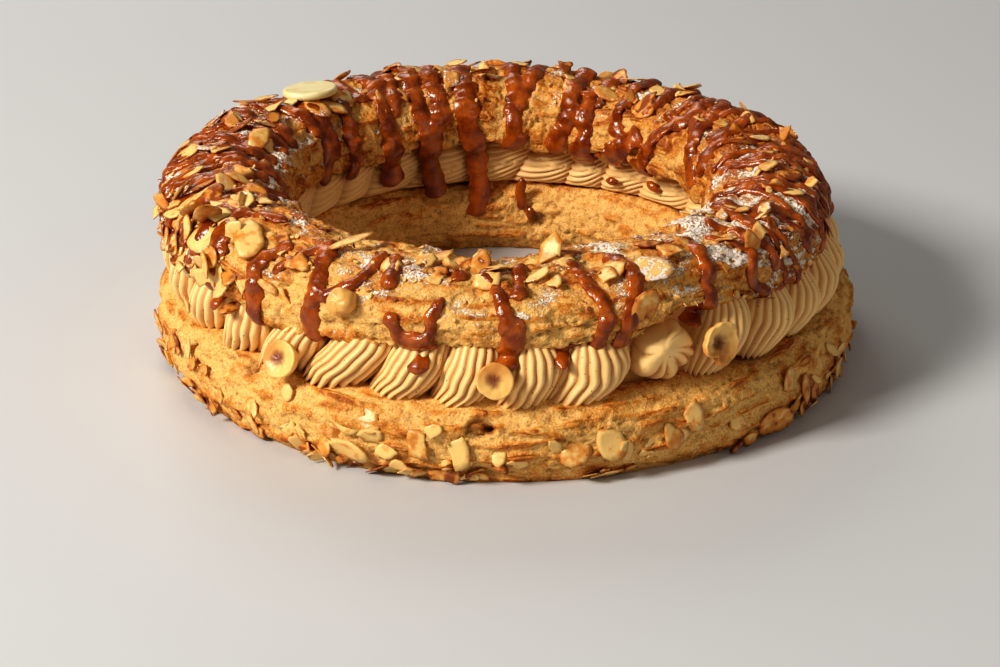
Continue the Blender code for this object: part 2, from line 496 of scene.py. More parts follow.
@dataclass(frozen=True)
class CrustFinish:
    """Baked choux: pale and porous in its hollows, amber on its ridges, dusted with sugar, with painted shade in its
    pits, splits and air holes.
    """

    name: str
    pale: Colour = tint(234, 187, 112)
    golden: Colour = tint(210, 139, 52)
    amber: Colour = tint(166, 86, 20)
    pit: Colour = tint(146, 80, 26)
    grain: Colour = tint(248, 210, 146)
    # dark is the painted shade colour of pits, splits and air holes.
    dark: Colour = tint(112, 58, 20)
    sugar: Colour = tint(250, 243, 230)
    crumb: float = 0.7 * MM

    def material(self) -> bpy.types.Material:
        """Colour from how baked a point is, with growth lines on the ridges, a sandy grain between them, and painted
        shade from the hollow attribute.
        """
        bench = Bench(self.name)
        sand = bench.noise(0.75 * MM, 2.0)
        mottle = bench.noise(4.0 * MM, 4.0)
        field = bench.field("baked")
        skin = field.eased(0.30, 0.75)
        patch = bench.noise(13.0 * MM, 3.0)
        lines = (bench.field("swirl") * 14.0 + mottle * 6.0).sine() * 0.5 + 0.5
        baked = field + (mottle - 0.5) * 1.1 + (patch - 0.5) * 1.0 + (lines - 0.5) * skin * 0.60
        colour = bench.mix(baked.eased(0.05, 0.55), self.pale, self.golden)
        colour = bench.mix(baked.eased(0.45, 1.0), colour, self.amber)
        pits = sand.eased(0.45, 0.33) * (1.0 - skin * 0.75)
        cracks = bench.noise(2.6 * MM, 4.0).eased(0.42, 0.33) * (1.0 - skin * 0.5)
        colour = bench.mix((pits * 0.45 + cracks * 0.35).clipped(), colour, self.pit)
        colour = bench.mix(sand.eased(0.54, 0.68) * (0.60 - skin * 0.35), colour, self.grain)
        # Painted shade: the hollow attribute darkens pits, splits and air holes towards dark.
        colour = bench.mix(bench.field("hollow") * 0.6, colour, self.dark)
        dust = bench.field("sugar") + (bench.noise(0.9 * MM, 5.0) - 0.5) * 1.9
        dusted = dust.eased(0.42, 0.70)
        colour = bench.mix(dusted * 0.88, colour, self.sugar)
        fine = bench.bump(sand * (1.0 - skin * 0.6), 0.36 * MM)
        crumbs = bench.bump(bench.noise(2.4 * MM, 4.0), self.crumb, fine)
        folds = bench.bump(lines * skin, 0.32 * MM, crumbs)
        bench.set(
            Base_Color=colour,
            Roughness=(0.66 - skin * 0.16 + dusted * 0.2).clipped(),
            Normal=bench.bump(dusted, 0.25 * MM, folds),
            Subsurface_Weight=0.05,
            Subsurface_Radius=(0.0012, 0.0007, 0.0003),
            Subsurface_Scale=1.0,
            Specular_IOR_Level=0.35,
        )
        return bench.material


@dataclass(frozen=True)
class CreamFinish:
    """Praline cream: tan, soft and slightly glossy, with fine dark specks of nut."""

    name: str = "praline_cream"
    cream: Colour = tint(250, 213, 150)
    # deep is the cream's painted shade colour, for its grooves and the hidden faces behind the shells.
    deep: Colour = tint(190, 124, 60)
    speck: Colour = tint(84, 46, 22)

    def material(self) -> bpy.types.Material:
        """Painted shade deeper in the grooves, with scattered specks and a faint curdled height."""
        bench = Bench(self.name)
        # Painted shade: darker towards deep by its painted shade attribute, plus a random tone from noise.
        shade = bench.field("groove_shade") * 0.85 + (bench.noise(7.0 * MM, 2.0) - 0.5) * 0.25
        colour = bench.mix(shade.clipped(), self.cream, self.deep)
        specks = bench.cells(2.2 * MM).eased(0.17, 0.09) * bench.noise(3.1 * MM, 2.0).eased(0.48, 0.58)
        colour = bench.mix(specks * 0.8, colour, self.speck)
        bench.set(
            Base_Color=colour,
            Roughness=0.48,
            Normal=bench.bump(bench.noise(1.2 * MM, 3.0), 0.14 * MM),
            Subsurface_Weight=0.12,
            Subsurface_Radius=(0.0022, 0.0014, 0.0007),
            Subsurface_Scale=1.0,
            Specular_IOR_Level=0.4,
        )
        return bench.material


@dataclass(frozen=True)
class CaramelFinish:
    """Salted caramel: glossy, deep amber brown, redder and lighter where it is thin."""

    name: str = "caramel"
    deep: Colour = tint(122, 50, 4)
    thin: Colour = tint(186, 98, 22)
    fleck: Colour = tint(216, 146, 66)

    def material(self) -> bpy.types.Material:
        """Colour clouded by noise with pale flecks, under a clear coat."""
        bench = Bench(self.name)
        cloud = bench.noise(6.0 * MM, 4.0).eased(0.30, 0.75)
        colour = bench.mix(cloud, self.deep, self.thin)
        flecks = bench.cells(2.0 * MM).eased(0.20, 0.10) * bench.noise(2.3 * MM, 2.0).eased(0.50, 0.60)
        colour = bench.mix(flecks * 0.5, colour, self.fleck)
        bench.set(
            Base_Color=colour,
            Roughness=0.18,
            Normal=bench.bump(flecks, 0.15 * MM, bench.bump(bench.noise(1.1 * MM, 3.0), 0.30 * MM)),
            Subsurface_Weight=0.12,
            Subsurface_Radius=(0.0030, 0.0009, 0.0002),
            Subsurface_Scale=1.0,
            Coat_Weight=0.30,
            Coat_Roughness=0.14,
            IOR=1.48,
        )
        return bench.material


@dataclass(frozen=True)
class FlakeFinish:
    """Sliced almond: ivory flesh, toasted towards amber, with a thin brown skin along the rim."""

    name: str
    flesh: Colour = tint(240, 200, 128)
    toasted: Colour = tint(220, 150, 68)
    burnt: Colour = tint(146, 76, 28)
    skin: Colour = tint(150, 86, 34)
    sugar: Colour = tint(246, 240, 232)
    gloss: float = 0.38

    def material(self) -> bpy.types.Material:
        """Colour from each flake's own toast and from how near its rim a point is."""
        bench = Bench(self.name)
        rim = bench.field("rim")
        toast = bench.field("toast") + (bench.noise(4.0 * MM, 4.0) - 0.5) * 2.4 + rim.eased(0.70, 1.0) * 0.14
        colour = bench.mix(toast.eased(0.2, 0.7), self.flesh, self.toasted)
        colour = bench.mix(toast.eased(0.75, 1.1), colour, self.burnt)
        colour = bench.mix(rim.eased(0.90, 1.0) * 0.35, colour, self.skin)
        drift = (bench.noise(4.0 * MM, 2.0) - 0.5) * 1.6
        dust = bench.field("sugar") + (bench.noise(1.0 * MM, 5.0) - 0.5) * 1.6 + drift
        dusted = dust.eased(0.5, 0.75)
        colour = bench.mix(dusted * 0.85, colour, self.sugar)
        bench.set(
            Base_Color=colour,
            Roughness=self.gloss + dusted * 0.4,
            Normal=bench.bump(bench.noise(0.8 * MM, 3.0), 0.12 * MM),
            Subsurface_Weight=0.15,
            Subsurface_Radius=(0.0012, 0.0007, 0.0003),
            Subsurface_Scale=1.0,
        )
        return bench.material


@dataclass(frozen=True)
class NutFinish:
    """Roasted hazelnut: blond cut flesh, a brown heart, and amber towards the rim."""

    name: str = "roasted_hazelnut"
    flesh: Colour = tint(240, 196, 120)
    amber: Colour = tint(208, 138, 62)
    heart: Colour = tint(128, 62, 40)

    def material(self) -> bpy.types.Material:
        """Colour from the heart and roast attributes."""
        bench = Bench(self.name)
        cloud = (bench.noise(2.5 * MM, 3.0) - 0.5) * 0.3
        colour = bench.mix((bench.field("roast") + cloud).eased(0.2, 1.1), self.flesh, self.amber)
        colour = bench.mix((bench.field("heart") + cloud).eased(0.15, 1.0) * 0.9, colour, self.heart)
        bench.set(
            Base_Color=colour,
            Roughness=0.38,
            Normal=bench.bump(bench.noise(1.1 * MM, 3.0), 0.16 * MM),
            Subsurface_Weight=0.18,
            Subsurface_Radius=(0.0020, 0.0010, 0.0004),
            Subsurface_Scale=1.0,
        )
        return bench.material


@dataclass(frozen=True)
class ChocolateFinish:
    """White chocolate: ivory, smooth and softly glossy."""

    name: str = "white_chocolate"
    ivory: Colour = tint(240, 228, 180)
    cocoa_butter: Colour = tint(226, 208, 150)

    def material(self) -> bpy.types.Material:
        """A faint clouding, as tempered chocolate has."""
        bench = Bench(self.name)
        cloud = bench.noise(6.0 * MM, 2.0).eased(0.35, 0.65)
        bench.set(
            Base_Color=bench.mix(cloud, self.ivory, self.cocoa_butter),
            Roughness=0.34 + cloud * 0.08,
            Normal=bench.bump(bench.noise(2.0 * MM, 2.0), 0.05 * MM),
            Subsurface_Weight=0.25,
            Subsurface_Radius=(0.0030, 0.0025, 0.0015),
            Subsurface_Scale=1.0,
        )
        return bench.material


# ---------------------------------------------------------------------------
# The two crusts
# ---------------------------------------------------------------------------


@dataclass
class CrustSection:
    """The mean section of a crust ring: a superellipse, cut level at its floor and its ceiling."""

    half_width: float
    rise: float
    drop: float
    power: float
    floor: float
    ceiling: float = 1.0
    dense: int = 2880
    hidden_weight: float = 0.3

    def outline(self, rows: int) -> tuple[Array, Array]:
        """Offsets across and up from the section's widest level, row by row along the outline.

        With c and s the cosine and sine of the turn, the offset across is half_width * |c|^(2/power), and the
        offset up is rise or drop times |s|^(2/power), each with its sign. The first row is under the middle.
        Rows lie evenly along the outline, but wider apart on the level cuts, which other things cover.

        Args:
            rows: how many steps to take.

        Returns:
            The offsets across and up.
        """
        turn = -0.5 * math.pi + TAU * np.arange(self.dense + 1) / self.dense
        cosine, sine = np.cos(turn), np.sin(turn)
        across = self.half_width * np.sign(cosine) * np.abs(cosine) ** (2.0 / self.power)
        upward = np.where(sine > 0.0, self.rise, self.drop) * np.sign(sine) * np.abs(sine) ** (2.0 / self.power)
        upward = np.clip(upward, -self.floor, self.ceiling)
        level = np.abs(np.diff(upward)) < 1e-9
        weight = np.where(level, self.hidden_weight, 1.0)
        length = np.concatenate([[0.0], np.cumsum(np.hypot(np.diff(across), np.diff(upward)) * weight)])
        steps = np.arange(rows) / rows * length[-1]
        return np.interp(steps, length, across), np.interp(steps, length, upward)


@dataclass
class BakedRelief:
    """How a choux crust is rough: lumps, piped ridges, splits, bubbles, grain and torn ledges, each as a depth."""

    seed: int
    lumps: float
    ridges: float
    splits: float
    bubbles: float
    grain: float
    ledges: float

    def fields(self, u: Array, v: Array) -> tuple[Array, dict[str, Array]]:
        """Depth, and the attributes that the finish reads: browning, painted shade in the pits and splits (hollow), and
        swirl.

        Lumps are layered noise. Ridges are noise stretched along the ring, over a wandering v. Splits are
        narrow bells round the zero line of another stretched noise. Bubbles are pits round scattered points.

        Args:
            u: shares round the ring.
            v: shares round the section.

        Returns:
            The depth in metres, and the attributes baked, hollow and swirl by name.
        """
        wander = v + 0.020 * wrapped_noise(u, v, 13, 3, self.seed) + 0.008 * wrapped_noise(u, v, 41, 8, self.seed + 1)
        lump = layered_noise(u, v, 22, 5, self.seed + 2, 4) + 0.45 * wrapped_noise(u, v, 120, 22, self.seed + 14)
        ledge = ease(layered_noise(u, v, 26, 7, self.seed + 15, 3), -0.05, 0.05)
        long = wrapped_noise(u, wander, 36, 22, self.seed + 6)
        short = wrapped_noise(u, wander, 84, 40, self.seed + 7)
        ridge = ease(long + 0.55 * short, -0.15, 0.75)
        line = wrapped_noise(u, wander, 34, 17, self.seed + 8)
        where = ease(wrapped_noise(u, v, 21, 6, self.seed + 9), 0.0, 0.4)
        split = bell(line, 0.05) * where
        away, share = wrapped_cells(u, v, 210, 40, self.seed + 10)
        pit = ease(away, 0.40, 0.10) * (share > 0.75) * (1.0 - 0.7 * ridge)
        fine = wrapped_noise(u, v, 420, 60, self.seed + 11) + 0.8 * wrapped_noise(u, v, 210, 34, self.seed + 12)
        depth = self.lumps * lump + self.ridges * (ridge - 0.5) - self.splits * split + self.ledges * (ledge - 0.5)
        depth = depth - self.bubbles * pit + self.grain * fine
        brown = 0.10 + 0.62 * ridge + 0.24 * lump - 0.20 * split + 0.10 * fine
        # Painted shade: hollow marks the bubble pits and the splits, for the finish to darken.
        hollow = np.clip(0.5 * pit + 0.75 * split, 0.0, 1.0)
        return depth, {"baked": brown, "hollow": hollow, "swirl": long + 0.4 * lump}


@dataclass(frozen=True)
class AirHole:
    """An open blister in the crust: an oval crater, with a deeper hole towards one side of it."""

    azimuth: float
    level: float
    long: float
    tall: float
    depth: float
    throat: float


@dataclass
class ChouxBase:
    """The lower crust: a fat ring, flat underneath and split level on top, where the cream stands."""

    middle: float = 112.8 * MM
    outer: float = 138.0 * MM
    widest: float = 17.0 * MM
    cut: float = 30.2 * MM
    rise: float = 15.9 * MM
    drop: float = 22.6 * MM
    columns: int = 1000
    rows: int = 98
    air_holes: tuple[AirHole, ...] = (
        AirHole(-93.8, 23.2 * MM, 6.0 * MM, 4.0 * MM, 2.8 * MM, 5.0 * MM),
        AirHole(-134.5, 28.2 * MM, 3.6 * MM, 2.6 * MM, 2.2 * MM, 2.4 * MM),
        AirHole(81.3, 15.0 * MM, 6.5 * MM, 4.0 * MM, 2.4 * MM, 1.0 * MM),
    )

    def sheet(self) -> tuple[Sheet, dict[str, Array]]:
        """The crust's surface and its attributes.

        Returns:
            The sheet, and baked, hollow (painted shade) and sugar at each point.
        """
        section = CrustSection(self.outer - self.middle, self.rise, self.drop, 2.4, self.widest, self.cut - self.widest)
        across, upward = section.outline(self.rows)
        u, v = np.meshgrid(np.arange(self.columns) / self.columns, np.arange(self.rows) / self.rows)
        angle = u * TAU
        across = across[:, None] + np.zeros_like(u)
        upward = upward[:, None] + np.zeros_like(u)
        radius = self.middle + across + waves(angle, (3, 7, 11), (0.3, 2.0, 4.4), (0.4 * MM, 0.3 * MM, 0.2 * MM))
        height = self.widest + upward + waves(angle, (2, 5), (0.4, 2.1), (0.3 * MM, 0.3 * MM)) * (upward > 0)
        smooth = Sheet(np.stack([radius * np.cos(angle), radius * np.sin(angle), height], -1))
        relief = BakedRelief(11, 1.2 * MM, 1.6 * MM, 1.0 * MM, 0.8 * MM, 0.24 * MM, 0.6 * MM)
        depth, fields = relief.fields(u, v)
        # Painted light: the base is paler on its left, the side that the key light falls on.
        painted_lit_side = bell(turned_gap(u * TAU, math.radians(-170.0)), math.radians(45.0))
        fields["baked"] = fields["baked"] - 0.12 * painted_lit_side
        crater, dark = self.opened(angle, height)
        rough = smooth.pushed(np.minimum(depth - 0.6 * MM, 1.0 * MM) - crater)
        rough.points[..., 2] = np.where(height < 0.05 * MM, 0.0, np.maximum(rough.points[..., 2], 0.0))
        on_cut = upward >= self.cut - self.widest - 1e-6
        inside = ease(across, -0.4 * (self.outer - self.middle), -0.9 * (self.outer - self.middle))
        foot = ease(height, 8.0 * MM, 0.0)
        fields["baked"] = fields["baked"] - 0.15 * inside - 0.35 * on_cut + 0.18 * foot
        # Painted shade of the air holes joins the hollow attribute.
        fields["hollow"] = np.clip(fields["hollow"] + dark, 0.0, 1.0)
        fields["sugar"] = np.full_like(u, -1.0)
        return rough, fields

    def opened(self, angle: Array, height: Array) -> tuple[Array, Array]:
        """Depth of the open air holes, and the painted shade in them."""
        depth = np.zeros_like(angle)
        dark = np.zeros_like(angle)
        for hole in self.air_holes:
            along = turned_gap(angle, math.radians(hole.azimuth)) * self.outer
            up = height - hole.level
            crater = ease(np.hypot(along / hole.long, up / hole.tall), 1.0, 0.80)
            throat = ease(np.hypot((along - 0.45 * hole.long) / (0.45 * hole.long), up / (0.6 * hole.tall)), 1.0, 0.45)
            depth = depth + crater * hole.depth + throat * hole.throat
            # Painted shade: darker in the crater and darkest in its throat.
            dark = dark + 0.70 * crater + throat
        return depth, dark

    def build(self) -> Sheet:
        """Builds and dresses the lower crust, and returns its surface for what sticks to it."""
        sheet, fields = self.sheet()
        dress(ring_piece("choux_base_crust", sheet, fields), CrustFinish("base_crust").material(), "golden_crust", "choux_base")
        return sheet


@dataclass
class ChouxLid:
    """The upper crust: a domed ring laid on the cream, a little off centre, with a torn and uneven rim."""

    centre: tuple[float, float] = (-4.0 * MM, 1.0 * MM)
    middle: float = 106.0 * MM
    half_width: float = 24.8 * MM
    floor: float = 49.2 * MM
    widest: float = 55.5 * MM
    crest: float = 76.2 * MM
    columns: int = 1000
    rows: int = 98
    power: float = 2.3
    front_dip: float = 3.4 * MM
    back_dip: float = 2.5 * MM
    rim_stops: tuple[tuple[float, float], ...] = (
        (-180, 5.0), (-155, 6.0), (-142, 2.2), (-134, 0.0), (-127, -3.6), (-120, -5.0), (-112, -2.2),
        (-104, -1.2), (-74, -0.6), (-67, 1.6), (-60, 8.6), (-56, 8.0), (-50, 6.0), (-34, 2.4), (0, 1.8), (45, 1.0), (140, 2.0),
    )

    def rim_lift(self, angle: Array) -> Array:
        """How far the outer rim stands above the lid's floor, between its named stops round the ring."""
        azimuths = [math.radians(stop[0]) for stop in self.rim_stops]
        lifts = [stop[1] * MM for stop in self.rim_stops]
        ragged = waves(angle, (17, 29, 47, 71), (0.3, 2.2, 5.1, 1.4), (0.45 * MM, 0.40 * MM, 0.30 * MM, 0.20 * MM))
        return np.interp(turned_gap(angle, 0.0), azimuths, lifts, period=TAU) + ragged

    def smooth_sheet(self) -> tuple[Sheet, Array, Array]:
        """The lid without its fine relief.

        Returns:
            The sheet, and the shares round the ring and round the section.
        """
        section = CrustSection(self.half_width, self.crest - self.widest, 14.0 * MM, self.power, self.widest - self.floor)
        across, upward = section.outline(self.rows)
        u, v = np.meshgrid(np.arange(self.columns) / self.columns, np.arange(self.rows) / self.rows)
        angle = u * TAU
        across = across[:, None] + np.zeros_like(u)
        upward = upward[:, None] + np.zeros_like(u)
        swell = 1.0 + waves(angle, (4, 9, 13), (0.9, 0.2, 5.0), (0.022, 0.022, 0.015))
        dips = self.front_dip * bell(turned_gap(angle, math.radians(-92.0)), math.radians(48.0))
        dips = dips + self.back_dip * bell(turned_gap(angle, math.radians(67.0)), math.radians(13.0))
        lift = 1.0 + waves(angle, (2, 5, 8), (1.2, 0.7, 3.3), (0.010, 0.025, 0.020))
        lift = lift - dips / (self.crest - self.widest)
        radius = self.middle + across * swell + waves(angle, (3, 5), (4.0, 1.1), (0.7 * MM, 0.5 * MM))
        outer = ease(across / self.half_width, 0.3, 0.85)
        inner_rag = waves(angle, (6, 13, 31), (2.0, 0.8, 4.0), (0.6 * MM, 0.5 * MM, 0.35 * MM))
        low = self.floor + outer * self.rim_lift(angle) + ease(-across / self.half_width, 0.4, 0.85) * inner_rag
        share = np.clip(-upward / (self.widest - self.floor), 0.0, 1.0)
        height = np.where(upward > 0.0, self.widest + upward * lift, self.widest - share * (self.widest - low))
        risen = outer * np.maximum(low - self.widest + 2.0 * MM, 0.0)
        height = height + np.where(upward > 0.0, risen * bell(upward, 8.0 * MM), risen * (1.0 - share))
        x = self.centre[0] + radius * np.cos(angle)
        y = self.centre[1] + radius * np.sin(angle)
        return Sheet(np.stack([x, y, height], -1)), u, v

    def sugar_amount(self, sheet: Sheet, u: Array, v: Array) -> Array:
        """How thick the icing sugar lies: most on level crust, in drifts, and most at the right and the left."""
        up = sheet.normals()[..., 2]
        azimuth = u * TAU
        level = ease(up, 0.0, 0.7)
        right = bell(turned_gap(azimuth, math.radians(-30.0)), math.radians(36.0))
        left = bell(turned_gap(azimuth, math.radians(175.0)), math.radians(45.0))
        drift = wrapped_noise(u, v, 40, 8, 71) + 0.7 * wrapped_noise(u, v, 100, 20, 72)
        front = bell(turned_gap(azimuth, math.radians(-108.0)), math.radians(24.0))
        amount = level * (0.14 + 0.60 * right + 0.50 * left + 0.22 * front) + 0.60 * drift * level - 0.08
        return np.minimum(amount, 0.74)

    def build(self) -> Sheet:
        """Builds and dresses the lid, and returns its surface for what lies on it."""
        smooth, u, v = self.smooth_sheet()
        relief = BakedRelief(47, 1.5 * MM, 0.9 * MM, 1.3 * MM, 0.9 * MM, 0.30 * MM, 1.3 * MM)
        depth, fields = relief.fields(u, v)
        rough = smooth.pushed(depth - 0.4 * MM)
        # Painted shade: the right side, away from the key light, is browned darker; the crest and the left are browner
        # and the front paler.
        right = bell(turned_gap(u * TAU, math.radians(5.0)), math.radians(50.0))
        left = bell(turned_gap(u * TAU, math.radians(175.0)), math.radians(35.0))
        front = bell(turned_gap(u * TAU, math.radians(-108.0)), math.radians(28.0))
        crest = ease(smooth.points[..., 2], 58.0 * MM, 74.0 * MM)
        fields["baked"] = fields["baked"] + 0.20 * crest + 0.34 * right + 0.22 * left - 0.16 * front
        fields["sugar"] = self.sugar_amount(rough, u, v)
        dress(ring_piece("choux_lid_crust", rough, fields), CrustFinish("lid_crust", crumb=1.0 * MM).material(), "browned_crust", "choux_lid")
        return rough


# ---------------------------------------------------------------------------
# The piped cream
# ---------------------------------------------------------------------------


@dataclass(frozen=True)
class ShellShape:
    """One piped shell: where it is, how large it is, and how far its ridges lean to its left."""

    azimuth: float
    half_width: float
    reach: float
    top: float
    bottom: float
    lean: float
    hook: float
    plump: float
    seed: int


@dataclass
class PipedShells:
    """Shells piped with a star tip round the outside of the cream, each tucked behind its left neighbour.

    A level slice of a shell is an ellipse arc that runs from behind its left side to behind its right side.
    The star tip's ridges run down it and end in tips on the crust below.
    """

    first_azimuth: float = -167.0
    widths: tuple[float, ...] = (11.3, 11.7, 10.5, 10.7, 11.9, 10.4, 9.5, 10.0, 11.7, 12.3, 12.5, 11.0, 9.9, 11.3)
    other_width: float = 11.0
    peaked: int = 9
    ridges: int = 13
    phases: tuple[float, ...] = (0.0, 0.13, 0.32, 0.50, 0.68, 0.87)
    rows: int = 32
    core: float = 120.0 * MM
    ridge_depth: float = 1.6 * MM
    tip: float = 2.4 * MM

    def shapes(self, lid: ChouxLid) -> list[ShellShape]:
        """Lays the shells out round the ring, by their widths, with lean and size varied a little."""
        source = np.random.default_rng(19)
        rest = 360.0 - sum(self.widths)
        count = round(rest / self.other_width)
        widths = list(self.widths) + [rest / count] * count
        shapes = []
        edge = self.first_azimuth
        for index, width in enumerate(widths):
            azimuth = edge + 0.5 * width
            plump = float(azimuth > -62.0 or azimuth < -140.0)
            right = float(-62.0 < azimuth < 20.0)
            lift = float(lid.rim_lift(np.array(math.radians(azimuth))))
            strong = math.exp(-(((azimuth + 118.0) / 16.0) ** 2))
            curl = math.exp(-(((azimuth + 76.0) / 9.0) ** 2))
            shapes.append(
                ShellShape(
                    azimuth=math.radians(azimuth),
                    half_width=0.5 * math.radians(width) * 131.0 * MM * (1.09 - 0.05 * plump - 0.13 * right),
                    reach=(14.2 + 1.2 * plump - 2.2 * right + source.uniform(-0.5, 0.5)) * MM,
                    plump=plump,
                    top=50.8 * MM + max(lift, 0.0),
                    bottom=(27.2 - 1.0 * strong + 3.2 * right + source.uniform(-0.4, 0.4)) * MM,
                    lean=(2.5 + 14.0 * strong + 3.0 * right + source.uniform(-1.0, 1.0)) * MM,
                    hook=(4.6 - 2.0 * strong + 3.5 * curl + source.uniform(-0.8, 0.8)) * MM,
                    seed=index,
                )
            )
            edge += width
        return shapes

    def slice_grid(self, shape: ShellShape) -> tuple[Array, Array]:
        """One shell's points, rows from its foot to its top, and the painted shade at each point, most in the grooves
        and on the hidden back.

        Args:
            shape: the shell.

        Returns:
            Rows by columns by three, and rows by columns.
        """
        climb = np.linspace(0.0, 1.0, self.rows)[:, None]
        phase = np.tile(np.array(self.phases), self.ridges)[None, :]
        across = (np.repeat(np.arange(self.ridges), len(self.phases))[None, :] + phase) / self.ridges
        across = across + 0.03 * np.sin(3.0 * climb + shape.seed) * np.sin(math.pi * across)
        across = across + 0.006 * np.sin(17.0 * climb + 9.0 * across + 2.0 * shape.seed) * np.sin(math.pi * across)
        turn = math.radians(206.0) - math.radians(232.0) * across
        tooth = np.sin(math.pi * phase) ** 0.9
        shown = ease(across, 0.08, 0.20) * ease(across, 1.0, 0.94)
        swell = np.sin(math.pi * (0.17 + 0.73 * climb)) ** (0.6 + 0.35 * shape.plump)
        waist = 0.36 + 0.26 * shape.plump
        wide = shape.half_width * (1.0 - waist + waist * np.sin(math.pi * (0.20 + 0.66 * climb)))
        deep = shape.reach * swell
        cut = self.ridge_depth * shown * (1.0 - tooth) * (0.75 + 0.35 * (1.0 - climb))
        out = (deep - cut) * np.sin(turn)
        along = (wide - 0.55 * cut) * np.cos(turn)
        skew = math.radians(-9.0)
        out, along = out * math.cos(skew) + along * math.sin(skew), along * math.cos(skew) - out * math.sin(skew)
        foot = (1.0 - climb) ** 5
        along = along - shape.lean * (1.0 - climb) ** 1.15 - shape.hook * (1.0 - climb) ** 3
        along = along + 0.5 * shape.lean + 0.35 * MM * np.sin(9.0 * climb + 2.0 * shape.seed)
        out = out + foot * shown * (0.8 * MM * tooth - 0.4 * MM)
        height = shape.bottom + (shape.top - shape.bottom) * climb - self.tip * foot * shown * (tooth - 0.5)
        height = height + 0.25 * MM * np.sin(5.0 * across + shape.seed)
        back = np.linspace(0.0, 1.0, 4)[None, 1:-1]
        back_out = out[:, -1:] * (1.0 - back) + out[:, :1] * back - 2.5 * MM
        back_along = along[:, -1:] * (1.0 - back) + along[:, :1] * back
        out = np.concatenate([out, back_out], axis=1)
        along = np.concatenate([along, back_along], axis=1)
        height = np.concatenate([height + np.zeros_like(across), np.repeat(height[:, :1], 2, axis=1)], axis=1)
        # Painted shade: dark between the ridges, and full on the two hidden back columns.
        groove_shade = np.concatenate([shown * (1.0 - tooth), np.ones((self.rows, 2))], axis=1)
        radius = self.core + out
        angle = shape.azimuth + along / (131.0 * MM)
        return np.stack([radius * np.cos(angle), radius * np.sin(angle), height], -1), groove_shade

    def peaked_grid(self, shape: ShellShape, rows: int, columns: int) -> tuple[Array, Array]:
        """A shell that was pulled off in a peak: folds run down all round it from the peak."""
        down = np.linspace(0.04, 1.0, rows)[:, None]
        turn = np.arange(columns)[None, :] / columns * TAU
        bent = turn + 0.5 * down + 0.42 * np.sin(turn + 0.6) + 0.16 * np.sin(4.0 * turn + 2.0 * down)
        phase = (bent * 8.0 / TAU) % 1.0
        tooth = np.sin(math.pi * phase) ** 0.6
        below = 0.35 + 0.65 * ease(-np.sin(turn), -0.5, 0.4)
        fold = 2.0 * MM * (1.0 - tooth) * ease(down, 0.12, 0.5) * below
        wide = (12.6 * MM - 0.9 * fold) * np.sin(0.5 * math.pi * down) ** 0.9
        wide = wide * (1.0 + 0.07 * np.sin(2.0 * turn + 1.0) + 0.05 * np.sin(5.0 * turn + 2.0))
        rise = 11.5 * MM * np.cos(0.5 * math.pi * down**1.3) + 1.6 * MM * bell(down, 0.18) - fold
        along = wide * np.cos(turn) - 4.0 * MM * bell(down, 0.45)
        up = wide * 0.90 * np.sin(turn) + 5.0 * MM * bell(down, 0.5)
        radius = self.core + rise
        angle = shape.azimuth + along / (131.0 * MM)
        height = 41.0 * MM + up
        # Painted shade in the folds, most on the lower side.
        groove_shade = (1.0 - tooth) * ease(down, 0.1, 0.4) * below + np.zeros_like(radius)
        return np.stack([radius * np.cos(angle), radius * np.sin(angle), height], -1), groove_shade

    def build(self, lid: ChouxLid, material: bpy.types.Material) -> None:
        """Builds every shell as one joined piece."""
        parts = []
        for index, shape in enumerate(self.shapes(lid)):
            if index == self.peaked:
                parts.append(self.peaked_grid(shape, 34, 144))
            else:
                parts.append(self.slice_grid(shape))
        dress(joined_piece("cream_shells", parts, "groove_shade"), material, "praline", "praline_cream")


def joined_piece(name: str, parts: Sequence[tuple[Array, Array]], field: str) -> bpy.types.Object:
    """Joins closed grids into one piece: each one's first and last rows are closed onto their middles.

    Args:
        name: the piece's name.
        parts: each grid's points and its values of the field.
        field: the point attribute's name.

    Returns:
        The piece, with its faces outwards.
    """
    vertices, faces, values = [], [], []
    start = 0
    for points, value in parts:
        rows, columns = points.shape[:2]
        body = [points[0].mean(0)[None], points.reshape(-1, 3), points[-1].mean(0)[None]]
        corners = np.concatenate(body)
        linked = capped_faces(rows, columns)
        if signed_volume(corners, linked) < 0.0:
            linked = linked[:, ::-1]
        vertices.append(corners)
        faces.append(linked + start)
        values.append(np.concatenate([[value[0].mean()], value.ravel(), [value[-1].mean()]]))
        start += len(corners)
    return link_mesh(name, np.concatenate(vertices), np.concatenate(faces), {field: np.concatenate(values)})


def signed_volume(vertices: Array, faces: Array) -> float:
    """The volume that triangles close in, negative where they face inwards."""
    a, b, c = (vertices[faces[:, corner]] for corner in range(3))
    return float(np.einsum("ij,ij->", a, np.cross(b, c))) / 6.0


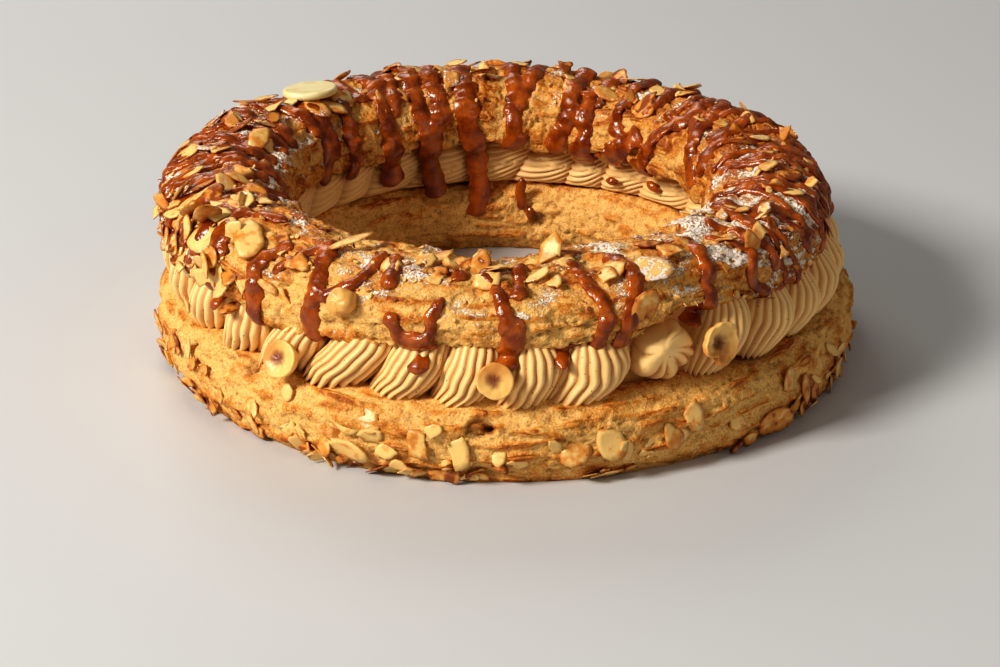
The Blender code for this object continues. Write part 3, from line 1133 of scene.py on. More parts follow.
@dataclass
class CreamCore:
    """The cream behind the shells: a plain ring whose inner face is piped in sagging scallops."""

    scallops: int = 28
    steps: int = 34
    rows: int = 76
    wall: float = 120.0 * MM
    inner_core: float = 101.0 * MM
    inner_swell: float = 11.6 * MM
    middle_height: float = 40.1 * MM
    half_height: float = 10.6 * MM

    def scallop_sheet(self, lid: ChouxLid) -> tuple[Sheet, Array]:
        """The inner face: sagging ridges that rise across each scallop and tuck under the next.

        With x the share across a scallop, a ridge's phase is the climb in ridge widths less a rise of x and
        more a sag of 4x(1 - x).

        Returns:
            The closed sheet and the painted shade at each point, darkest in the grooves and where lobes tuck under.
        """
        columns = self.scallops * self.steps
        station = np.arange(columns)[None, :] / columns * self.scallops
        station = station + 0.16 * np.sin(5.0 * station * TAU / self.scallops) + 0.10 * np.sin(11.0 * station * TAU / self.scallops)
        turn = np.linspace(0.5 * math.pi, 1.5 * math.pi, self.rows)[:, None]
        reach = np.abs(np.cos(turn)) ** (2.0 / 2.8)
        rise = np.sign(np.sin(turn)) * np.abs(np.sin(turn)) ** (2.0 / 2.8)
        climb = 0.5 + 0.5 * rise
        slanted = station + 0.55 * climb
        across = 1.0 - slanted % 1.0
        index = np.floor(slanted).astype(int) % self.scallops
        source = np.random.default_rng(8)
        size = source.uniform(-1.0, 1.0, self.scallops)[index]
        tip = source.uniform(-1.0, 1.0, self.scallops)[index]
        peak = 0.35
        away = np.where(across < peak, (peak - across) / peak, (across - peak) / (1.0 - peak))
        lobe = 1.0 - np.sqrt(np.maximum(1.0 - away**2, 0.0))
        tall = 2.0 * self.half_height
        pitch = 2.9 * MM
        swag = climb * tall - (7.0 + 1.5 * tip) * MM * across + (2.6 + 0.8 * size) * MM * 4.0 * across * (1.0 - across)
        phase = (swag / pitch + 0.4 * tip) % 1.0
        tooth = np.where(phase < 0.35, np.sin(0.5 * math.pi * phase / 0.35), np.cos(0.5 * math.pi * (phase - 0.35) / 0.65))
        radius = self.inner_core - self.inner_swell * reach
        radius = radius + reach * (3.0 * MM * lobe + 1.30 * MM * (1.0 - tooth) + 0.4 * MM * size)
        angle = np.arange(columns)[None, :] / columns * TAU + np.zeros_like(radius)
        height = self.middle_height + self.half_height * rise + np.zeros_like(radius)
        inner = np.stack([radius * np.cos(angle), radius * np.sin(angle), height], -1)
        # Painted shade: darker in the grooves between ridges and where each lobe tucks under the next.
        groove_shade = np.clip(0.5 * lobe + 0.5 * (1.0 - tooth), 0.0, 1.0)
        top = self.middle_height + self.half_height + np.maximum(lid.rim_lift(angle[0]), 0.0)
        foot = np.full(columns, self.middle_height - self.half_height)
        outside = []
        for level in (foot, foot + 3.0 * MM, top - 3.0 * MM, top):
            outside.append(np.stack([self.wall * np.cos(angle[0]), self.wall * np.sin(angle[0]), level], -1))
        points = np.concatenate([inner, np.stack(outside)])
        # The hidden outer wall takes a painted shade of 0.8.
        return Sheet(points), np.concatenate([groove_shade, np.full((4, columns), 0.8)])

    def build(self, lid: ChouxLid, material: bpy.types.Material) -> None:
        """Builds and dresses the ring of cream behind the shells."""
        sheet, groove_shade = self.scallop_sheet(lid)
        dress(ring_piece("cream_scallops", sheet, {"groove_shade": groove_shade}), material, "praline", "praline_cream")


# ---------------------------------------------------------------------------
# Caramel
# ---------------------------------------------------------------------------


@dataclass
class Drape:
    """The way that sauce takes: from the cream outside, over the lid, and down the inside of the ring.

    Its rows are a millimetre apart. Row 0 is at reach millimetres below the lid's outer rim, so a place
    is counted in millimetres from the rim, upwards and inwards.
    """

    lid: ChouxLid
    surface: Sheet
    reach: int = 16
    inner_reach: int = 42
    outer_cream: float = 132.6 * MM
    inner_cream: float = 88.3 * MM
    tall: int = 0

    def __post_init__(self) -> None:
        """Stacks the outer fall, the lid and the inner fall into one sheet."""
        over = self.over_lid()
        self.tall = len(over)
        outside = self.fall(over[0], self.outer_cream, self.reach, (0.0, 0.0))[::-1]
        inside = self.fall(over[-1], self.inner_cream, self.inner_reach, (0.0, 0.0))
        self.sheet = Sheet(np.concatenate([outside, over, inside]), rows_wrap=False)
        self.normal = self.sheet.normals()

    def over_lid(self) -> Array:
        """The lid's rows from its outer rim to its inner rim, a millimetre apart on average, and smoothed."""
        points = self.surface.points
        radius = np.hypot(points[..., 0] - self.lid.centre[0], points[..., 1] - self.lid.centre[1]).mean(1)
        height = points[..., 2].mean(1)
        shown = np.where(height > self.lid.floor + 1.2 * MM)[0]
        rows = points[shown[0] : shown[-1] + 1]
        step = np.hypot(np.diff(radius[shown]), np.diff(height[shown]))
        length = np.concatenate([[0.0], np.cumsum(step)])
        places = np.arange(0.0, length[-1], MM)
        below = np.clip(np.searchsorted(length, places) - 1, 0, len(length) - 2)
        part = ((places - length[below]) / (length[below + 1] - length[below]))[:, None, None]
        even = rows[below] * (1.0 - part) + rows[below + 1] * part
        for _ in range(3):
            even = (np.roll(even, 1, axis=1) + 2.0 * even + np.roll(even, -1, axis=1)) / 4.0
        return even

    def fall(self, rim: Array, radius: float, steps: int, centre: tuple[float, float]) -> Array:
        """Rows that run down from a rim, easing over to a radius where the cream stands."""
        down = np.arange(1, steps + 1)[:, None]
        x, y = rim[:, 0] - centre[0], rim[:, 1] - centre[1]
        start = np.hypot(x, y)
        share = ease(down / 7.0, 0.0, 1.0)
        now = start * (1.0 - share) + radius * share
        height = np.maximum(rim[:, 2] - down * MM, 2.0 * MM)
        return np.stack([now * x / start, now * y / start, height], -1)

    def at(self, azimuth: Array, place: Array) -> tuple[Array, Array]:
        """Points and outward normals at azimuths and at places in millimetres from the outer rim."""
        row = np.asarray(place) + self.reach
        point = self.sheet.sample(self.sheet.points, row, azimuth)
        normal = self.sheet.sample(self.normal, row, azimuth)
        return point, normal / np.linalg.norm(normal, axis=-1, keepdims=True)


@dataclass(frozen=True)
class Strand:
    """A run of caramel: its width in millimetres, and the azimuths and places that it runs through."""

    width: float
    route: tuple[tuple[float, float], ...]
    bulb: float = 0.25


@dataclass(frozen=True)
class Drizzle:
    """Strands poured side by side over a stretch of the ring."""

    first: float
    last: float
    spacing: float
    outer: tuple[float, float]
    inner: tuple[float, float]
    width: tuple[float, float]


@dataclass
class Caramel:
    """Salted caramel drizzled across the lid, run together where strands meet, and dripping off its rims."""

    drape: Drape
    voxel: float = 0.6 * MM
    sections: int = 12
    per_degree: float = 2.1
    front: tuple[Strand, ...] = (
        Strand(4.0, ((-143, -2), (-143, -8)), 0.4),
        Strand(6.5, ((-130, 40), (-132, 25), (-132, 6))),
        Strand(4.0, ((-122, 48), (-126, 37), (-129, 24)), 0.0),
        Strand(6.0, ((-123, 46), (-120, 24), (-120, -3)), 0.3),
        Strand(4.5, ((-112, 48), (-112, 31), (-119, 20)), 0.0),
        Strand(5.0, ((-109, 47), (-108, 28))),
        Strand(5.0, ((-107, 20), (-104.5, 10)), 0.0),
        Strand(12.0, ((-103.5, 14), (-101.5, 5)), 0.0),
        Strand(6.5, ((-102, 7), (-101.5, 0)), 0.0),
        Strand(5.0, ((-101.5, 2), (-101.5, -9)), 0.5),
        Strand(4.0, ((-98.5, 28), (-101, 9)), 0.0),
        Strand(5.0, ((-99, 44), (-95, 36))),
        Strand(4.5, ((-92, 46), (-88, 18)), 0.0),
        Strand(7.5, ((-89, 20), (-86, 13)), 0.0),
        Strand(7.0, ((-87, 17), (-89, 1)), 0.0),
        Strand(6.5, ((-88, 2), (-88, -7)), 0.3),
        Strand(4.5, ((-86, 47), (-86, 27))),
        Strand(5.0, ((-76, 49), (-73, 17), (-74, 3)), 0.0),
        Strand(5.5, ((-68, 50), (-67, 34), (-71, 3)), 0.0),
        Strand(4.0, ((-84, 4), (-76, 5), (-68, 5)), 0.0),
        Strand(4.5, ((-79.5, 3), (-79.5, -6)), 0.5),
        Strand(5.5, ((-51, 48), (-53, 30), (-56, -4)), 0.4),
    )
    right: tuple[Strand, ...] = (
        Strand(3.0, ((-46, 46), (-42, 28))),
        Strand(4.5, ((-42, 52), (-40, 36), (-44, 20), (-38, 0)), 0.4),
        Strand(4.0, ((-35, 56), (-36, 39), (-38, 18)), 0.3),
        Strand(3.5, ((-30, 58), (-29, 44), (-26, 16))),
        Strand(3.0, ((-22, 62), (-19, 34), (-20, 10))),
        Strand(3.0, ((-15, 58), (-14, 36), (-14, 12))),
        Strand(3.0, ((-4, 64), (-9, 38), (-10, 8))),
        Strand(3.0, ((0, 66), (-4, 42))),
        Strand(3.0, ((5, 62), (0, 30), (-2, 14))),
        Strand(3.5, ((14, 66), (7, 32), (6, 16))),
    )
    back: tuple[Strand, ...] = (
        Strand(6.5, ((26, 24), (19, 58), (8, 76)), 0.4),
        Strand(6.5, ((34, 22), (25, 66), (14, 84)), 0.4),
        Strand(7.0, ((38, 24), (33, 62), (40, 78), (44, 91)), 0.4),
        Strand(5.0, ((41, 26), (38, 66))),
        Strand(5.5, ((46, 20), (47, 67))),
        Strand(9.0, ((45, 74), (52, 84), (58, 93)), 0.2),
        Strand(5.0, ((43, 97), (44, 101)), 0.4),
        Strand(4.0, ((57, 100), (57, 104)), 0.3),
        Strand(3.5, ((83, 104), (83, 119)), 0.1),
        Strand(3.0, ((80.5, 117), (80.5, 123)), 0.2),
        Strand(6.0, ((58, 22), (54, 79)), 0.3),
        Strand(6.5, ((64, 20), (64, 84), (67, 92)), 0.3),
        Strand(7.0, ((62, 93), (69, 92)), 0.0),
        Strand(7.0, ((72, 24), (69, 74), (74, 89)), 0.2),
        Strand(6.5, ((79, 20), (84, 74)), 0.0),
        Strand(6.5, ((88, 22), (86, 72), (84, 89)), 0.6),
        Strand(9.0, ((98, 18), (100, 78), (95, 92)), 0.0),
        Strand(7.5, ((96, 90), (95, 122)), 0.2),
        Strand(7.0, ((104, 24), (107, 76), (110, 88)), 0.2),
        Strand(7.5, ((112, 20), (112, 74), (107, 112)), 0.2),
        Strand(6.0, ((115, 28), (120, 72)), 0.0),
        Strand(8.0, ((120, 22), (123, 80), (121, 104)), 0.2),
        Strand(6.5, ((129, 20), (136, 76), (136, 95)), 0.3),
        Strand(5.5, ((141, 24), (146, 77), (149, 92)), 0.3),
    )
    left: tuple[Strand, ...] = (
        Strand(5.0, ((173, 48), (163, 70))),
        Strand(5.0, ((-174, 34), (174, 68))),
        Strand(5.5, ((-166, 34), (-171, 66))),
        Strand(5.0, ((-162, 26), (-156, 9)), 0.4),
        Strand(5.5, ((-156, 36), (-150, 62)), 0.0),
        Strand(5.0, ((-157, 37), (-151, 19))),
        Strand(4.5, ((-152, 37), (-136, 49)), 0.0),
        Strand(6.5, ((-148, 36), (-148, 19), (-153, -4)), 0.4),
        Strand(7.0, ((-144, 35), (-141, 21))),
        Strand(5.5, ((-144, 17), (-144, 5)), 0.4),
    )
    drizzles: tuple[Drizzle, ...] = (
        Drizzle(-34.0, 28.0, 4.4, (2.0, 22.0), (48.0, 72.0), (2.5, 3.3)),
        Drizzle(128.0, 150.0, 5.5, (14.0, 30.0), (60.0, 84.0), (4.4, 6.4)),
        Drizzle(150.0, 198.0, 3.7, (4.0, 26.0), (54.0, 80.0), (3.2, 4.4)),
        Drizzle(198.0, 218.0, 4.2, (2.0, 16.0), (46.0, 64.0), (3.2, 4.4)),
    )

    def poured(self) -> list[Strand]:
        """Works out the strands of every drizzle, with uneven spacing, ends, lean and width."""
        source = np.random.default_rng(29)
        strands = [*self.front, *self.right, *self.back, *self.left]
        for drizzle in self.drizzles:
            azimuth = drizzle.first
            while azimuth < drizzle.last:
                lean = source.uniform(-3.0, 3.0)
                start, end = source.uniform(*drizzle.outer), source.uniform(*drizzle.inner)
                width = source.uniform(*drizzle.width)
                route = ((azimuth + lean, start), (azimuth - lean, end))
                strands.append(Strand(width, route, source.uniform(0.1, 0.6)))
                azimuth += drizzle.spacing * source.uniform(0.55, 1.45)
        return strands

    def run(self, strand: Strand, seed: int) -> tuple[Array, Array]:
        """One strand as a closed grid: half an oval on the surface, swollen and thinned along its way."""
        source = np.random.default_rng(seed)
        stops = np.array(strand.route, float)
        stops[:, 0] = np.degrees(np.unwrap(np.radians(stops[:, 0])))
        legs = np.hypot(np.diff(stops[:, 0]) * self.per_degree, np.diff(stops[:, 1]))
        marks = np.concatenate([[0.0], np.cumsum(legs)])
        length = float(marks[-1])
        count = max(int(length / 1.1), 8)
        along = np.linspace(0.0, length, count)
        azimuth, place = self.rounded(np.interp(along, marks, stops[:, 0]), np.interp(along, marks, stops[:, 1]))
        share = along / length
        wave = source.uniform(0.0, TAU, 4)
        sway = np.sin(math.pi * share) * (0.6 * np.sin(5.0 * share + wave[0]) + 0.3 * np.sin(11.0 * share + wave[1]))
        azimuth = np.radians(azimuth + sway * min(1.0, length / 30.0))
        point, normal = self.drape.at(azimuth, place)
        way = np.gradient(point, axis=0)
        way = way / np.maximum(np.linalg.norm(way, axis=1, keepdims=True), 1e-9)
        side = np.cross(normal, way)
        uneven = 1.0 + 0.10 * np.sin(along * 0.45 + wave[2]) + 0.06 * np.sin(along * 1.1 + wave[3])
        ends = np.sqrt(np.clip(np.minimum(along + 0.25, length - along + 0.25) / 2.2, 0.02, 1.0))
        drop = 1.0 + strand.bulb * bell(length - along - 2.0, 3.0)
        rim = 0.4 * MM + 0.9 * MM * bell(place - 4.0, 6.0)
        half = 0.64 * strand.width * MM * uneven * ends * drop
        thick = np.minimum(0.34 * half, 1.3 * MM) + 0.55 * MM * ends
        turn = np.arange(self.sections) / self.sections * TAU
        fray = 1.0 + 0.05 * np.sin(along * 0.9 + wave[0])[:, None] * np.where(np.cos(turn) > 0.0, 1.0, -0.6)
        wide = half[:, None] * np.cos(turn) * fray
        above = thick[:, None] * np.sin(turn) ** 2
        sunk = (1.1 * MM + rim)[:, None] * ends[:, None] * np.sin(turn)
        high = rim[:, None] + np.where(np.sin(turn) > 0.0, above, sunk)
        grid = point[:, None] + side[:, None] * wide[..., None] + normal[:, None] * high[..., None]
        return grid, np.zeros(grid.shape[:2])

    @staticmethod
    def rounded(*values: Array) -> tuple[Array, ...]:
        """Rounds the corners of a route: each inner value moves to the mean of itself and its neighbours."""
        smooth = []
        for value in values:
            for _ in range(6):
                value = np.concatenate([value[:1], (value[:-2] + 2.0 * value[1:-1] + value[2:]) / 4.0, value[-1:]])
            smooth.append(value)
        return tuple(smooth)

    def build(self) -> None:
        """Runs the strands together into one smooth piece, and splits it by quarters of the ring."""
        parts = [self.run(strand, 300 + index) for index, strand in enumerate(self.poured())]
        rough = joined_piece("caramel_rough", parts, "rim")
        merge = rough.modifiers.new("run together", "REMESH")
        merge.mode = "VOXEL"
        merge.voxel_size = self.voxel
        soften = rough.modifiers.new("soften", "SMOOTH")
        soften.factor = 0.5
        soften.iterations = 5
        graph = bpy.context.evaluated_depsgraph_get()
        merged = rough.evaluated_get(graph).to_mesh()
        vertices = np.empty(len(merged.vertices) * 3, np.float32)
        merged.vertices.foreach_get("co", vertices)
        vertices = vertices.reshape(-1, 3)
        faces = np.empty(len(merged.loops), np.int32)
        merged.loops.foreach_get("vertex_index", faces)
        bpy.data.objects.remove(rough, do_unlink=True)
        material = CaramelFinish().material()
        for index, (points, quads) in enumerate(loose_quarters(vertices, faces.reshape(-1, 4))):
            dress(link_mesh(f"caramel_{index + 1}", points, quads), material, "praline")


def loose_quarters(vertices: Array, faces: Array) -> list[tuple[Array, Array]]:
    """Splits a mesh's loose islands into four groups, by the quarter of the ring where each one's first point is.

    Args:
        vertices: points by three.
        faces: quads.

    Returns:
        Each group's points and its renumbered quads.
    """
    label = np.arange(len(vertices))
    while True:
        lowest = label[faces].min(axis=1)
        fresh = label.copy()
        np.minimum.at(fresh, faces.ravel(), np.repeat(lowest, 4))
        fresh = fresh[fresh]
        if np.array_equal(fresh, label):
            break
        label = fresh
    turn = np.arctan2(vertices[:, 1], vertices[:, 0])[label]
    quarter = np.floor((turn + math.pi) / TAU * 4.0).astype(int) % 4
    groups = []
    for index in range(4):
        kept = faces[quarter[faces[:, 0]] == index]
        if len(kept):
            used, renumbered = np.unique(kept, return_inverse=True)
            groups.append((vertices[used], renumbered.reshape(kept.shape)))
    return groups


# ---------------------------------------------------------------------------
# Almond flakes
# ---------------------------------------------------------------------------


@dataclass
class Flakes:
    """A batch of almond flakes: each a thin bent slice, whole or snapped, stuck to a surface.

    All values are arrays with one entry for each flake.
    """

    point: Array
    normal: Array
    way: Array
    length: Array
    width: Array
    bend: Array
    snapped: Array
    toast: Array
    sugar: Array
    seed: int
    outline: int = 14
    thickness: float = 0.42 * MM
    widest_reach: float = 139.7 * MM
    back_reach: float = 139.2 * MM
    highest: float = 81.4 * MM
    lowest: float = 0.3 * MM

    def rims(self) -> tuple[Array, Array]:
        """Each flake's flat outline: an oval drawn to a point, with its broken sides cut off straight.

        A point beyond a break is moved back onto it. A break is a line at an angle, at a share of the
        flake's half length from its middle.

        Returns:
            Offsets along and across, flakes by outline points.
        """
        source = np.random.default_rng(self.seed)
        count = len(self.length)
        turn = np.arange(self.outline) / self.outline * TAU
        along = 0.5 * self.length[:, None] * np.cos(turn)
        taper = np.where(np.cos(turn) > 0.0, 1.0 - 0.45 * np.cos(turn) ** 3, 1.0)
        uneven = 1.0 + 0.15 * source.uniform(-1.0, 1.0, (count, self.outline))
        across = 0.5 * self.width[:, None] * np.sin(turn) * taper * uneven
        for first, last in ((-0.7, 0.7), (1.2, 3.6), (-2.6, -0.9)):
            angle = source.uniform(first, last, count)[:, None]
            offset = np.where(self.snapped[:, None], source.uniform(0.25, 0.72, (count, 1)), 2.0) * 0.5 * self.length[:, None]
            away = along * np.cos(angle) + across * np.sin(angle)
            beside = across * np.cos(angle) - along * np.sin(angle)
            jag = 0.4 * MM * np.sin(beside / (0.9 * MM) + 9.0 * self.toast[:, None])
            excess = np.maximum(away - offset - jag, 0.0)
            along = along - excess * np.cos(angle)
            across = across - excess * np.sin(angle)
        return along, across

    def kept_in(self, vertices: Array) -> Array:
        """Moves each flake whole, so that it stays over the floor, under the top and within the ring's reach."""
        low, high = vertices[..., 2].min(1), vertices[..., 2].max(1)
        shift = np.maximum(self.lowest - low, 0.0) - np.maximum(high - self.highest, 0.0)
        vertices = vertices + shift[:, None, None] * np.array([0.0, 0.0, 1.0])
        reach = np.hypot(vertices[..., 0], vertices[..., 1]).max(1)
        middle = vertices.mean(1)[:, :2]
        allowed = np.where(middle[:, 1] > 0.0, self.back_reach, self.widest_reach)
        scale = np.maximum(reach - allowed, 0.0)[:, None]
        inward = -middle / np.linalg.norm(middle, axis=1, keepdims=True) * scale
        vertices[..., :2] = vertices[..., :2] + inward[:, None]
        return vertices

    def build(self, name: str, material: bpy.types.Material) -> bpy.types.Object:
        """Joins the batch into one piece, six triangles for each outline point of a flake."""
        count, edge = len(self.length), self.outline
        rim_x, rim_y = self.rims()
        middle = np.zeros((count, 1))
        x = np.concatenate([middle, rim_x * 0.62, rim_x, rim_x, middle], axis=1)
        y = np.concatenate([middle, rim_y * 0.62, rim_y, rim_y, middle], axis=1)
        upper = 1 + 2 * edge
        side = np.ones(x.shape[1])
        side[upper:] = -1.0
        source = np.random.default_rng(self.seed + 1)
        curl = self.bend[:, None] * x**2 / (0.5 * self.length[:, None]) ** 2
        curl = curl - 0.5 * np.abs(self.bend)[:, None] * y**2 / (0.5 * self.width[:, None]) ** 2
        ripple = 0.15 * MM * source.uniform(-1.0, 1.0, (count, 1)) * np.sin(x / (1.3 * MM))
        z = curl + ripple + 0.5 * self.thickness * side[None, :]
        across = np.cross(self.normal, self.way)
        vertices = self.point[:, None] + self.way[:, None] * x[..., None] + across[:, None] * y[..., None]
        vertices = self.kept_in(vertices + self.normal[:, None] * z[..., None])
        ring = np.arange(edge)
        beside = (ring + 1) % edge
        top, rim, low, last = 1 + ring, 1 + edge + ring, upper + ring, np.full(edge, upper + edge)
        next_top, next_rim, next_low = 1 + beside, 1 + edge + beside, upper + beside
        shape = np.concatenate(
            [
                np.stack([np.zeros(edge, int), top, next_top], -1),
                np.stack([top, rim, next_rim], -1),
                np.stack([top, next_rim, next_top], -1),
                np.stack([rim, low, next_low], -1),
                np.stack([rim, next_low, next_rim], -1),
                np.stack([last, next_low, low], -1),
            ]
        )
        sharp = np.zeros(len(shape), bool)
        sharp[3 * edge : 5 * edge] = True
        size = x.shape[1]
        faces = (shape[None] + (np.arange(count) * size)[:, None, None]).reshape(-1, 3)
        rim_field = np.concatenate([[0.0], np.full(edge, 0.62), np.ones(edge), np.ones(edge), [0.0]])
        fields = {
            "rim": np.tile(rim_field, count),
            "toast": np.repeat(self.toast, size),
            "sugar": np.repeat(self.sugar, size),
        }
        piece = link_mesh(name, vertices.reshape(-1, 3), faces, fields, np.tile(sharp, count))
        return dress(piece, material, "praline")


@dataclass(frozen=True)
class Scatter:
    """Loose flakes over a stretch of the ring: azimuths in degrees, places and lengths in millimetres.

    A sink above 1 gathers them towards the low end.
    """

    count: int
    azimuth: float
    spread: float
    low: float
    high: float
    toast: float = 0.30
    length: tuple[float, float] = (8.5, 16.0)
    sink: float = 1.0
    steep: float = 0.20
    sugar: float = 0.5


@dataclass(frozen=True)
class PlacedFlake:
    """One listed flake: azimuth, place, length, width, then how it is turned, toasted and tipped."""

    azimuth: float
    place: float
    length: float
    width: float
    turn: float = 0.0
    toast: float = 0.2
    tilt: float = 0.0
    sugar: float = -1.0
    snapped: bool = True

    def row(self) -> tuple[float, ...]:
        """The flake's values in the order that AlmondTopping.stuck reads."""
        return (
            self.azimuth,
            self.place,
            self.length,
            self.width,
            self.turn,
            self.tilt,
            self.toast,
            self.sugar,
            float(self.snapped),
        )


LID_FLAKES = (
    PlacedFlake(-165, 27, 12, 11, 0, 0.2, 0, 0.5, False),
    PlacedFlake(-160, 30, 9, 8.5, 0, 0.2, 8, -1, False),
    PlacedFlake(-150, 30, 12, 9, 20, 0.15),
    PlacedFlake(-152, -14, 13, 6, 90, 0.3, 10),
    PlacedFlake(-142, 21, 12, 9, 60, 0.1),
    PlacedFlake(-141, 31, 12, 7, 90, 0.2, 55),
    PlacedFlake(-139, 13, 15, 12, 30, 0.05, 4, -1, False),
    PlacedFlake(-137, 31, 18, 12, 100, 0.3, 14, -0.2, False),
    PlacedFlake(-134, 17, 14, 12, 10, 0.15),
    PlacedFlake(-129, 19, 10, 7, 45, 0.3),
    PlacedFlake(-125, 30, 15, 9, 140, 0.65, 10, 0.1),
    PlacedFlake(-126, 17, 13, 9, 70, 0.5),
    PlacedFlake(-119, 47, 18, 7, 20, 0.35, 16, 0.2, False),
    PlacedFlake(-104, 45, 11, 8, 40, 0.4, 10),
    PlacedFlake(-100, 35, 9, 6, 10, 0.4, 0),
    PlacedFlake(-93, 46, 14, 7, 80, 0.6, 10, 0.1, False),
    PlacedFlake(-82, 39, 15, 5, 30, 0.15, 12, 0.2),
    PlacedFlake(-80, 36, 10, 7, 120, 0.35),
    PlacedFlake(-69, 38, 12, 10, 0, 0.35, 6),
    PlacedFlake(-67, 21, 16, 11, 120, 0.6, 5, -1, False),
    PlacedFlake(-63, 33, 15, 13, 0, 0.4, 5, 0.55, False),
    PlacedFlake(-60, 47, 14, 9, 10, 0.85, 8),
    PlacedFlake(-57, 43, 9, 6, 60, 0.6),
    PlacedFlake(-53, 41, 12, 8, 150, 0.7, 5, -1, False),
    PlacedFlake(-50, 26, 8, 7, 0, 0.7),
    PlacedFlake(-45, 38, 10, 9, 60, 0.45, 5),
    PlacedFlake(-30, 40, 14, 7, 50, 0.3, 5, 0.4),
)
BASE_FLAKES = (
    PlacedFlake(-132.5, 13.5, 10, 9, 20, 0.3),
    PlacedFlake(-126, 10, 11, 9, 150, 0.2),
    PlacedFlake(-124.5, 6.5, 12.5, 8, 30, 0.15),
    PlacedFlake(-122.5, 3, 10, 6, 90, 0.4),
    PlacedFlake(-120.5, 4, 16, 6, 95, 0.25, 20),
    PlacedFlake(-119, 6, 15, 6, 85, 0.2, -15),
    PlacedFlake(-118, 3.5, 12.5, 6, 100, 0.45),
    PlacedFlake(-114.5, 21.5, 17, 14, 10, 0.05, 0, -1, False),
    PlacedFlake(-111.2, 21.5, 14, 11, 60, 0.6, 6),
    PlacedFlake(-116, 15, 15, 9, 80, 0.6, 22),
    PlacedFlake(-110, 17.5, 12.5, 7.5, 95, 0.05, 6),
    PlacedFlake(-114.5, 9.5, 19, 11, 85, 0.2, 0, -1, False),
    PlacedFlake(-109.5, 3.5, 15, 11, 80, 0.95, 20),
    PlacedFlake(-108, 11.5, 11, 5.5, 80, 0.1, 8),
    PlacedFlake(-106, 7.5, 12.5, 5, 70, 0.1, 10),
    PlacedFlake(-104.6, 5, 12.5, 5, 60, 0.15, 15),
    PlacedFlake(-103.4, 4.5, 11, 5, 55, 0.2, 15),
    PlacedFlake(-102.8, 15.5, 17.5, 11, 70, 0.42, 8),
    PlacedFlake(-100.4, 22, 11, 7.5, 20, 0.15),
    PlacedFlake(-97.5, 14.5, 16, 14, 0, 0.1),
    PlacedFlake(-96, 8.5, 7.5, 6, 0, 0.1, 5),
    PlacedFlake(-100, 2, 12.5, 5.5, 95, 0.6),
    PlacedFlake(-97.6, 3, 15, 6, 80, 0.85, 15),
    PlacedFlake(-94, 1.5, 14, 5.5, 92, 0.7),
    PlacedFlake(-83, 17, 8, 7.5, 0, 0.2),
    PlacedFlake(-79.6, 12.5, 12.5, 10, 120, 0.5, 8, -1, False),
    PlacedFlake(-74.4, 15.5, 14, 11, 40, 0.25, 0, -1, False),
    PlacedFlake(-72, 13, 9, 7.5, 0, 0.15),
    PlacedFlake(-76.5, 4.5, 11, 7.5, 70, 0.25, 8),
    PlacedFlake(-74.3, 3.5, 15, 7.5, 70, 0.2, 12),
    PlacedFlake(-72.5, 1.5, 15, 6, 80, 0.7, 5),
    PlacedFlake(-76.8, 1.5, 10, 6, 95, 0.15),
    PlacedFlake(-64.8, 15, 12.5, 10, 30, 0.5, 5),
    PlacedFlake(-60.8, 21, 14, 10, 10, 0.3, 10),
    PlacedFlake(-62.6, 19, 7.5, 5, 0, 0.6),
    PlacedFlake(-52.2, 12, 12.5, 7.5, 50, 0.2, 6),
    PlacedFlake(-44, 8, 19, 12.5, 75, 0.6, 4, -1, False),
    PlacedFlake(-38.5, 9.5, 11, 9, 30, 0.6, 10),
    PlacedFlake(-35.5, 7.5, 11, 9, 0, 0.85, 8),
    PlacedFlake(-58.3, 1, 10, 6, 90, 0.15),
    PlacedFlake(-53.5, 1.5, 11, 6, 85, 1.1, 10),
    PlacedFlake(-52, 3, 10, 6, 60, 1.1, 20),
    PlacedFlake(-50.5, 1, 9, 5, 95, 1.0, 5),
    PlacedFlake(-88, 9, 8, 7, 30, 0.2, 4),
    PlacedFlake(-70, 2, 9, 5, 85, 0.35, 10),
    PlacedFlake(-67.5, 8, 8, 6, 40, 0.4, 6),
)


def tipped(normal: Array, way: Array, tilt: Array, turn: Array) -> tuple[Array, Array]:
    """Turns ways about their normals, then tips both up by a tilt about the axis across the way.

    Args:
        normal: unit normals.
        way: any directions not along the normals.
        tilt: angles in radians.
        turn: angles in radians.

    Returns:
        The tipped unit normals and ways.
    """
    way = way - normal * np.sum(way * normal, axis=1, keepdims=True)
    way = way / np.linalg.norm(way, axis=1, keepdims=True)
    across = np.cross(normal, way)
    way = way * np.cos(turn)[:, None] + across * np.sin(turn)[:, None]
    new_way = way * np.cos(tilt)[:, None] + normal * np.sin(tilt)[:, None]
    new_normal = normal * np.cos(tilt)[:, None] - way * np.sin(tilt)[:, None]
    return new_normal, new_way


